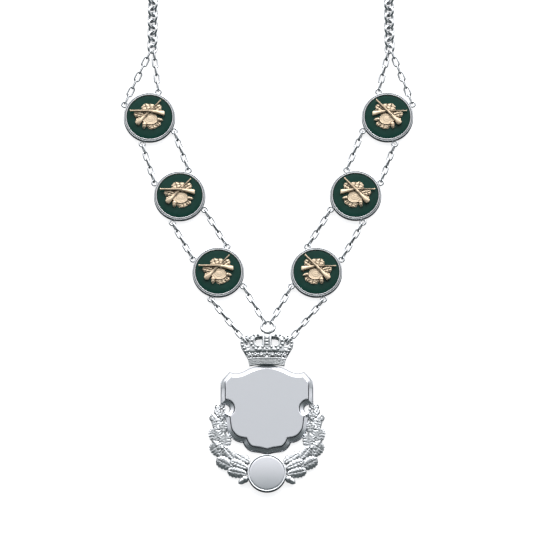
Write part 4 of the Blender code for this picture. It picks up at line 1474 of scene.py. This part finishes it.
    def ornaments(self, shape: BMesh) -> None:
        """Adds the beads and the petals."""
        stretch = Matrix.Diagonal(self.middle_bead)
        for y in self.middle_beads:
            merge(shape, ball(), Matrix.Translation(self.on_dome(0.0, y)) @ stretch)
        for sign in (-1, 1):
            for x, y, radius in self.beads:
                place = Matrix.Translation(self.on_dome(sign * x, y, -self.bead_lift))
                merge(shape, ball(self.bead_scale * radius), place)
            hand = Matrix.Diagonal((sign, 1, 1, 1))
            for x, y, heading, length, width in self.petals:
                place = flat_place(x, y, heading, self.dome(x, y) - self.petal_sink)
                stretch = Matrix.Diagonal((length / 2, width / 2, self.petal_height, 1))
                merge(shape, ball(), hand @ place @ stretch)

    def lug(self) -> BMesh:
        """Makes the lug that fills the foot of the ring and comes to a blunt point."""
        outer = []
        inner = []
        for step in range(33):
            away = step / 16 - 1.0
            turn = 270 + self.lug_reach * away
            point = 0.5 * math.exp(-((8.0 * away) ** 2))
            outer.append(around(turn, self.ring_outer - 0.15 + point))
            inner.append(around(turn, self.ring_outer - 0.85 - 1.55 * (1.0 - away * away)))
        return pillow(outer + inner[::-1], low=-1.0, high=1.1, rounding=0.28)

    def build(self, origin: Vector) -> None:
        """Makes the crown with its ring, its lug and the tab behind the shield."""
        shape = self.body()
        self.band(shape)
        self.rails(shape)
        self.ornaments(shape)
        ring_place = Matrix.Translation((self.ring_aside, self.ring_y(), self.ring_level))
        ring = wire_ring(self.ring_outer, self.ring_wire, segments=44, sides=16)
        merge(shape, ring, ring_place)
        lug_level = self.ring_level + self.lug_rise
        lug_place = Matrix.Translation((self.ring_aside, self.ring_y(), lug_level))
        lean = Matrix.Rotation(math.radians(-self.lug_lean), 4, "X")
        merge(shape, self.lug(), lug_place @ lean)
        wide, tall, low, high = self.tab
        tab = slab([(-wide, -tall), (wide, -tall), (wide, tall), (-wide, tall)], (), low, high)
        soften(tab, width=0.12)
        merge(shape, tab)
        place = origin + Vector((0, self.base, 0))
        deliver("crown_casting", shape, CROWN_CAST, ["crown"], place, angle=50.0, reach=0.75)


@dataclass(frozen=True)
class Wreath:
    """Oak leaves and acorns along two arms, on a flat strap."""

    half_width: float = 33.5
    half_height: float = 30.0
    strap_width: float = 5.0
    strap: float = 1.2
    sweep: float = 120.0
    # The leaves' tilt away from the arm's middle, how far from it the tilt is full, its share
    # that all leaves have, and their pitch; angles in degrees
    tilt: float = 8.0
    full_tilt: float = 4.0
    lean_out: float = 0.38
    pitch: float = -4.0
    leaf: OakLeaf = OakLeaf()
    # x, y, heading, length, width, level of each leaf of the left arm
    leaves: Table = (
        (-34.2, 48.4, 128.0, 4.7, 3.9, 1.2),
        (-31.4, 49.4, 70.0, 4.3, 3.7, 1.2),
        (-34.4, 44.6, 104.0, 6.8, 5.2, 1.3),
        (-31.6, 41.8, 76.0, 7.1, 4.9, 1.4),
        (-37.0, 40.4, 124.0, 6.6, 5.9, 1.5),
        (-35.0, 36.4, 100.0, 9.0, 7.1, 1.6),
        (-30.8, 33.2, 84.0, 9.6, 7.6, 1.7),
        (-36.2, 28.0, 99.0, 11.3, 9.3, 2.0),
        (-29.2, 23.8, 92.0, 11.3, 9.3, 2.1),
        (-34.8, 17.8, 120.0, 11.8, 9.5, 2.3),
        (-26.0, 14.4, 132.0, 12.8, 9.3, 2.4),
        (-16.8, 11.2, 148.0, 11.8, 8.5, 2.3),
        (-29.3, 7.4, 150.0, 13.2, 9.0, 2.6),
        (-19.4, 6.4, 157.0, 13.0, 8.0, 2.8),
        (-20.8, 1.0, 168.0, 13.6, 8.2, 2.4),
    )
    # x, y, heading, radius, level of each acorn, and x, y, radius, level of the bud at the end
    acorns: Table = (
        (-16.2, -4.5, 214.0, 2.60, 2.3), (-31.2, 19.0, 110.0, 1.3, 3.2),
        (-34.0, 33.2, 100.0, 1.2, 2.6),
    )
    bud: tuple[float, ...] = (-30.0, 46.6, 1.15, 2.4)

    def spine(self, sweep: float, outward: float = 0.0) -> Vector:
        """Returns a place on the left arm, its sweep in degrees from the bottom."""
        turn = math.radians(sweep)
        across = -self.half_width * math.sin(turn)
        up = self.half_height * (1.0 - math.cos(turn))
        aside = Vector((-math.sin(turn), -math.cos(turn), 0.0)) * outward
        return Vector((across, up, 0.0)) + aside

    def lean(self, x: float, y: float) -> tuple[float, float]:
        """Returns how far a place lies outside the arm's middle, and the sweep there."""
        sweep = math.degrees(math.atan2(-x / self.half_width, 1.0 - y / self.half_height))
        spot = self.spine(sweep)
        outward = self.spine(sweep, 1.0) - spot
        return (Vector((x, y, 0.0)) - spot).dot(outward), sweep

    def leaf_place(self, row: Sequence[float]) -> Matrix:
        """Returns a leaf's place: turned to its heading and tilted off the arm."""
        x, y, heading, _, _, level = row
        outside, sweep = self.lean(x, y)
        share = max(-1.0, min(1.0, outside / self.full_tilt)) + self.lean_out
        turn = math.radians(sweep)
        axis = Vector((math.cos(turn), -math.sin(turn), 0.0))
        roll = Matrix.Rotation(math.radians(self.tilt * share), 4, axis)
        spin = Matrix.Rotation(math.radians(heading), 4, "Z")
        pitch = Matrix.Rotation(math.radians(self.pitch), 4, "Y")
        return Matrix.Translation((x, y, level)) @ roll @ spin @ pitch

    def strap_edge(self, outward: float) -> list[Point]:
        """Returns an edge of the strap, some way outside its middle, from end to end."""
        sweeps = [step * self.sweep / 30 for step in range(-30, 31)]
        return [tuple(self.spine(sweep, outward).xy) for sweep in sweeps]

    def build(self, origin: Vector) -> None:
        """Makes both arms at the pendant's origin."""
        shape = bmesh.new()
        half = self.strap_width / 2
        strap = slab(self.strap_edge(half) + self.strap_edge(-half)[::-1], (), 0.0, self.strap)
        soften(strap, width=0.12)
        merge(shape, strap)
        for sign in (1, -1):
            hand = Matrix.Diagonal((sign, 1, 1, 1))
            for row in self.leaves:
                _, _, heading, length, width, _ = row
                leaf = self.leaf.build(length, width, heading)
                merge(shape, leaf, hand @ self.leaf_place(row))
            for x, y, heading, radius, level in self.acorns:
                merge(shape, Acorn().build(radius), hand @ flat_place(x, y, heading, level))
            x, y, radius, level = self.bud
            merge(shape, ball(radius), hand @ flat_place(x, y, 0.0, level))
        deliver("wreath_casting", shape, CAST, ["wreath"], origin, angle=40.0)


# Whole chain


@dataclass(frozen=True)
class GuildChain:
    """The whole chain, built from its sub-assemblies."""

    medallion: Medallion = Medallion()
    emblem: Emblem = Emblem()
    fine: FineChain = FineChain()
    neck: NeckChain = NeckChain()
    plate: RoundPlate = RoundPlate()
    shield: Shield = Shield()
    crown: Crown = Crown()
    wreath: Wreath = Wreath()
    first_seed: int = 11

    def anchors(self, side: Side, hand: str, origin: Vector) -> list[Span]:
        """Returns the wires that hold each stretch of a row of fine chain.

        Args:
            side: The side of the chain.
            hand: Outer or inner.
            origin: The pendant's origin.

        Returns:
            For each stretch, the place and thickness of its first and its last wire.
        """
        loop = self.medallion.loop_wire
        reach = self.medallion.loop_radius - loop / 2
        stops = [self.neck.grip_place(side, hand)]
        for row in Row:
            centre = middle_of(f"enamel_{side.label}_{row.value}")
            stops.append(self.medallion.loop_place(centre, side, hand + "_top"))
            stops.append(self.medallion.loop_place(centre, side, hand + "_bottom"))
        crown_place, crown_wire = self.crown.grip(side, hand, origin)
        stops.append(crown_place)
        spans = []
        for number, (start, end) in enumerate(zip(stops[0::2], stops[1::2])):
            along = (end - start).normalized()
            first = (start + along * reach, loop) if number else (start, self.neck.wire)
            last = (end - along * reach, loop) if number < len(Row) else (end, crown_wire)
            spans.append((*first, *last))
        return spans

    def build_fine_chains(self, origin: Vector) -> None:
        """Makes the links of all the stretches, each a piece of its own."""
        seed = self.first_seed
        for side in Side:
            for hand, counts in self.fine.counts:
                spans = self.anchors(side, hand, origin)
                for number, (span, count) in enumerate(zip(spans, counts), start=1):
                    node = f"fine_chain_{side.label}_{hand}_{number}"
                    shape = bmesh.new()
                    self.fine.stretch(shape, *span, count, side, seed)
                    deliver(node + "_links", shape, POLISHED, [node])
                    seed += 1

    def build(self) -> None:
        """Builds every piece of the chain."""
        for side in Side:
            for row in Row:
                centre = middle_of(f"enamel_{side.label}_{row.value}")
                self.medallion.build_bezel(side, row, centre)
                self.medallion.build_enamel(side, row, centre)
                self.emblem.build(side, row, centre)
            self.neck.build_half(side)
        self.neck.build_clasp()
        origin = flat(middle_of("blank_plate"))
        self.build_fine_chains(origin)
        self.plate.build(origin)
        self.shield.build(origin)
        self.crown.build(origin)
        self.wreath.build(origin)


# Studio


@dataclass(frozen=True)
class Studio:
    """The table, the light and the camera, placed and sized in metres."""

    floor_size: float = 12.0
    floor_colour: Colour = (0.62, 0.62, 0.625)
    floor_glow: Colour = (0.80, 0.80, 0.805)
    # The table's colour in glossy rays: a painted dark reflection in the metal, as of a dark card
    # beside the piece
    floor_in_metal: Colour = (0.055, 0.07, 0.08)
    floor_level: float = -0.0002
    floor_roughness: float = 0.8
    floor_gloss: float = 0.1
    lens: float = 800.0
    sensor: float = 36.0
    view_width: float = 0.3731
    side_light: float = 0.25
    elevation: float = 73.0
    # What the middle of the picture looks at, in millimetres from the pendant's origin
    aim: tuple[float, float, float] = (-0.3, 151.4, 1.0)
    softbox_place: tuple[float, float, float] = (0.3, 1.7, 1.2)
    softbox_size: Point = (2.4, 0.9)
    softbox_power: float = 20.0
    # The surround's brightness, from 0 on the near side to 1 beyond the clasp
    surround: Points = (
        (0.00, 0.22), (0.12, 0.06), (0.50, 0.07), (0.585, 0.22), (0.645, 0.77), (0.695, 0.85),
        (0.74, 1.15), (0.80, 1.70), (1.0, 2.2),
    )
    # Below which brightness the surround turns cool, how much, and how much bluer than green
    cool_below: float = 0.8
    cool_share: float = 0.32
    blue_share: float = 1.02

    def build_floor(self) -> None:
        """Makes the pale table, evenly glowing, which the metal shows as a painted dark reflection.
        """
        shape = bmesh.new()
        bmesh.ops.create_grid(shape, x_segments=1, y_segments=1, size=self.floor_size / 2)
        mesh = bpy.data.meshes.new("table")
        shape.to_mesh(mesh)
        shape.free()
        bench = MaterialBench("pale_table")
        # Painted reflection: glossy rays see the table near black and without glow, so the metal's
        # edges show dark, while the camera sees it pale and glowing
        in_metal = bench.add("ShaderNodeLightPath", {}).outputs["Is Glossy Ray"]
        bench.fill(bench.shader, {
            "Base Color": bench.blend(in_metal, self.floor_colour, self.floor_in_metal),
            "Emission Color": bench.blend(in_metal, self.floor_glow, (0.0, 0.0, 0.0)),
            "Emission Strength": 1.0,
            "Roughness": self.floor_roughness,
            "Specular IOR Level": self.floor_gloss,
        })
        mesh.materials.append(bench.material)
        table = bpy.data.objects.new("table", mesh)
        table.location.z = self.floor_level
        bpy.context.scene.collection.objects.link(table)

    def build_world(self) -> None:
        """Makes a surround, bright beyond the clasp and at the sides, dark on the near side."""
        world = bpy.data.worlds.new("studio")
        bpy.context.scene.world = world
        world.use_nodes = True
        bench = NodeBench(world.node_tree, "Generated")
        split = bench.add("ShaderNodeSeparateXYZ", {"Vector": bench.place}).outputs
        square = bench.calculate("MULTIPLY", split["X"], split["X"])
        lift = bench.calculate("MULTIPLY_ADD", square, self.side_light, split["Y"])
        spread = bench.add("ShaderNodeMapRange", {"From Min": -1.0, "Value": lift})
        ramp = bench.add("ShaderNodeValToRGB", {"Fac": spread.outputs["Result"]})
        elements = ramp.color_ramp.elements
        elements[0].position = 0.0
        elements[1].position = 1.0
        for position, _ in self.surround[1:-1]:
            elements.new(position)
        for element, (position, level) in zip(elements, self.surround):
            element.position = position
            cool = 1.0 + self.cool_share * max(0.0, self.cool_below - level)
            element.color = (level, level * cool, level * cool * self.blue_share, 1.0)
        background = bench.tree.nodes["Background"]
        bench.fill(background, {"Color": ramp.outputs["Color"], "Strength": 1.0})

    def build_light(self, target: Vector) -> None:
        """Makes the softbox, turned towards a target."""
        light = bpy.data.lights.new("softbox_back", "AREA")
        light.shape = "RECTANGLE"
        light.size, light.size_y = self.softbox_size
        light.energy = self.softbox_power
        lamp = bpy.data.objects.new("softbox_back", light)
        lamp.location = target + Vector(self.softbox_place)
        lamp.rotation_euler = (target - lamp.location).to_track_quat("-Z", "Y").to_euler()
        bpy.context.scene.collection.objects.link(lamp)

    def build_camera(self, target: Vector) -> None:
        """Makes the camera at the photograph's angle."""
        camera = bpy.data.cameras.new("camera")
        camera.lens = self.lens
        camera.sensor_width = self.sensor
        distance = self.view_width * self.lens / self.sensor
        camera.clip_end = 4 * distance
        rig = bpy.data.objects.new("camera", camera)
        lift = math.radians(self.elevation)
        rig.location = target + Vector((0.0, -math.cos(lift), math.sin(lift))) * distance
        rig.rotation_euler = (math.pi / 2 - lift, 0.0, 0.0)
        bpy.context.scene.collection.objects.link(rig)
        bpy.context.scene.camera = rig

    def build(self) -> None:
        """Sets the stage."""
        target = (flat(middle_of("blank_plate")) + Vector(self.aim)) * MM
        bpy.context.scene.view_settings.view_transform = "Standard"
        self.build_camera(target)
        self.build_floor()
        self.build_world()
        self.build_light(target)


def main() -> None:
    """Builds the studio and the chain."""
    logging.basicConfig(level=logging.INFO, format="%(name)s %(message)s")
    Studio().build()
    GuildChain().build()


if __name__ == "__main__":
    main()
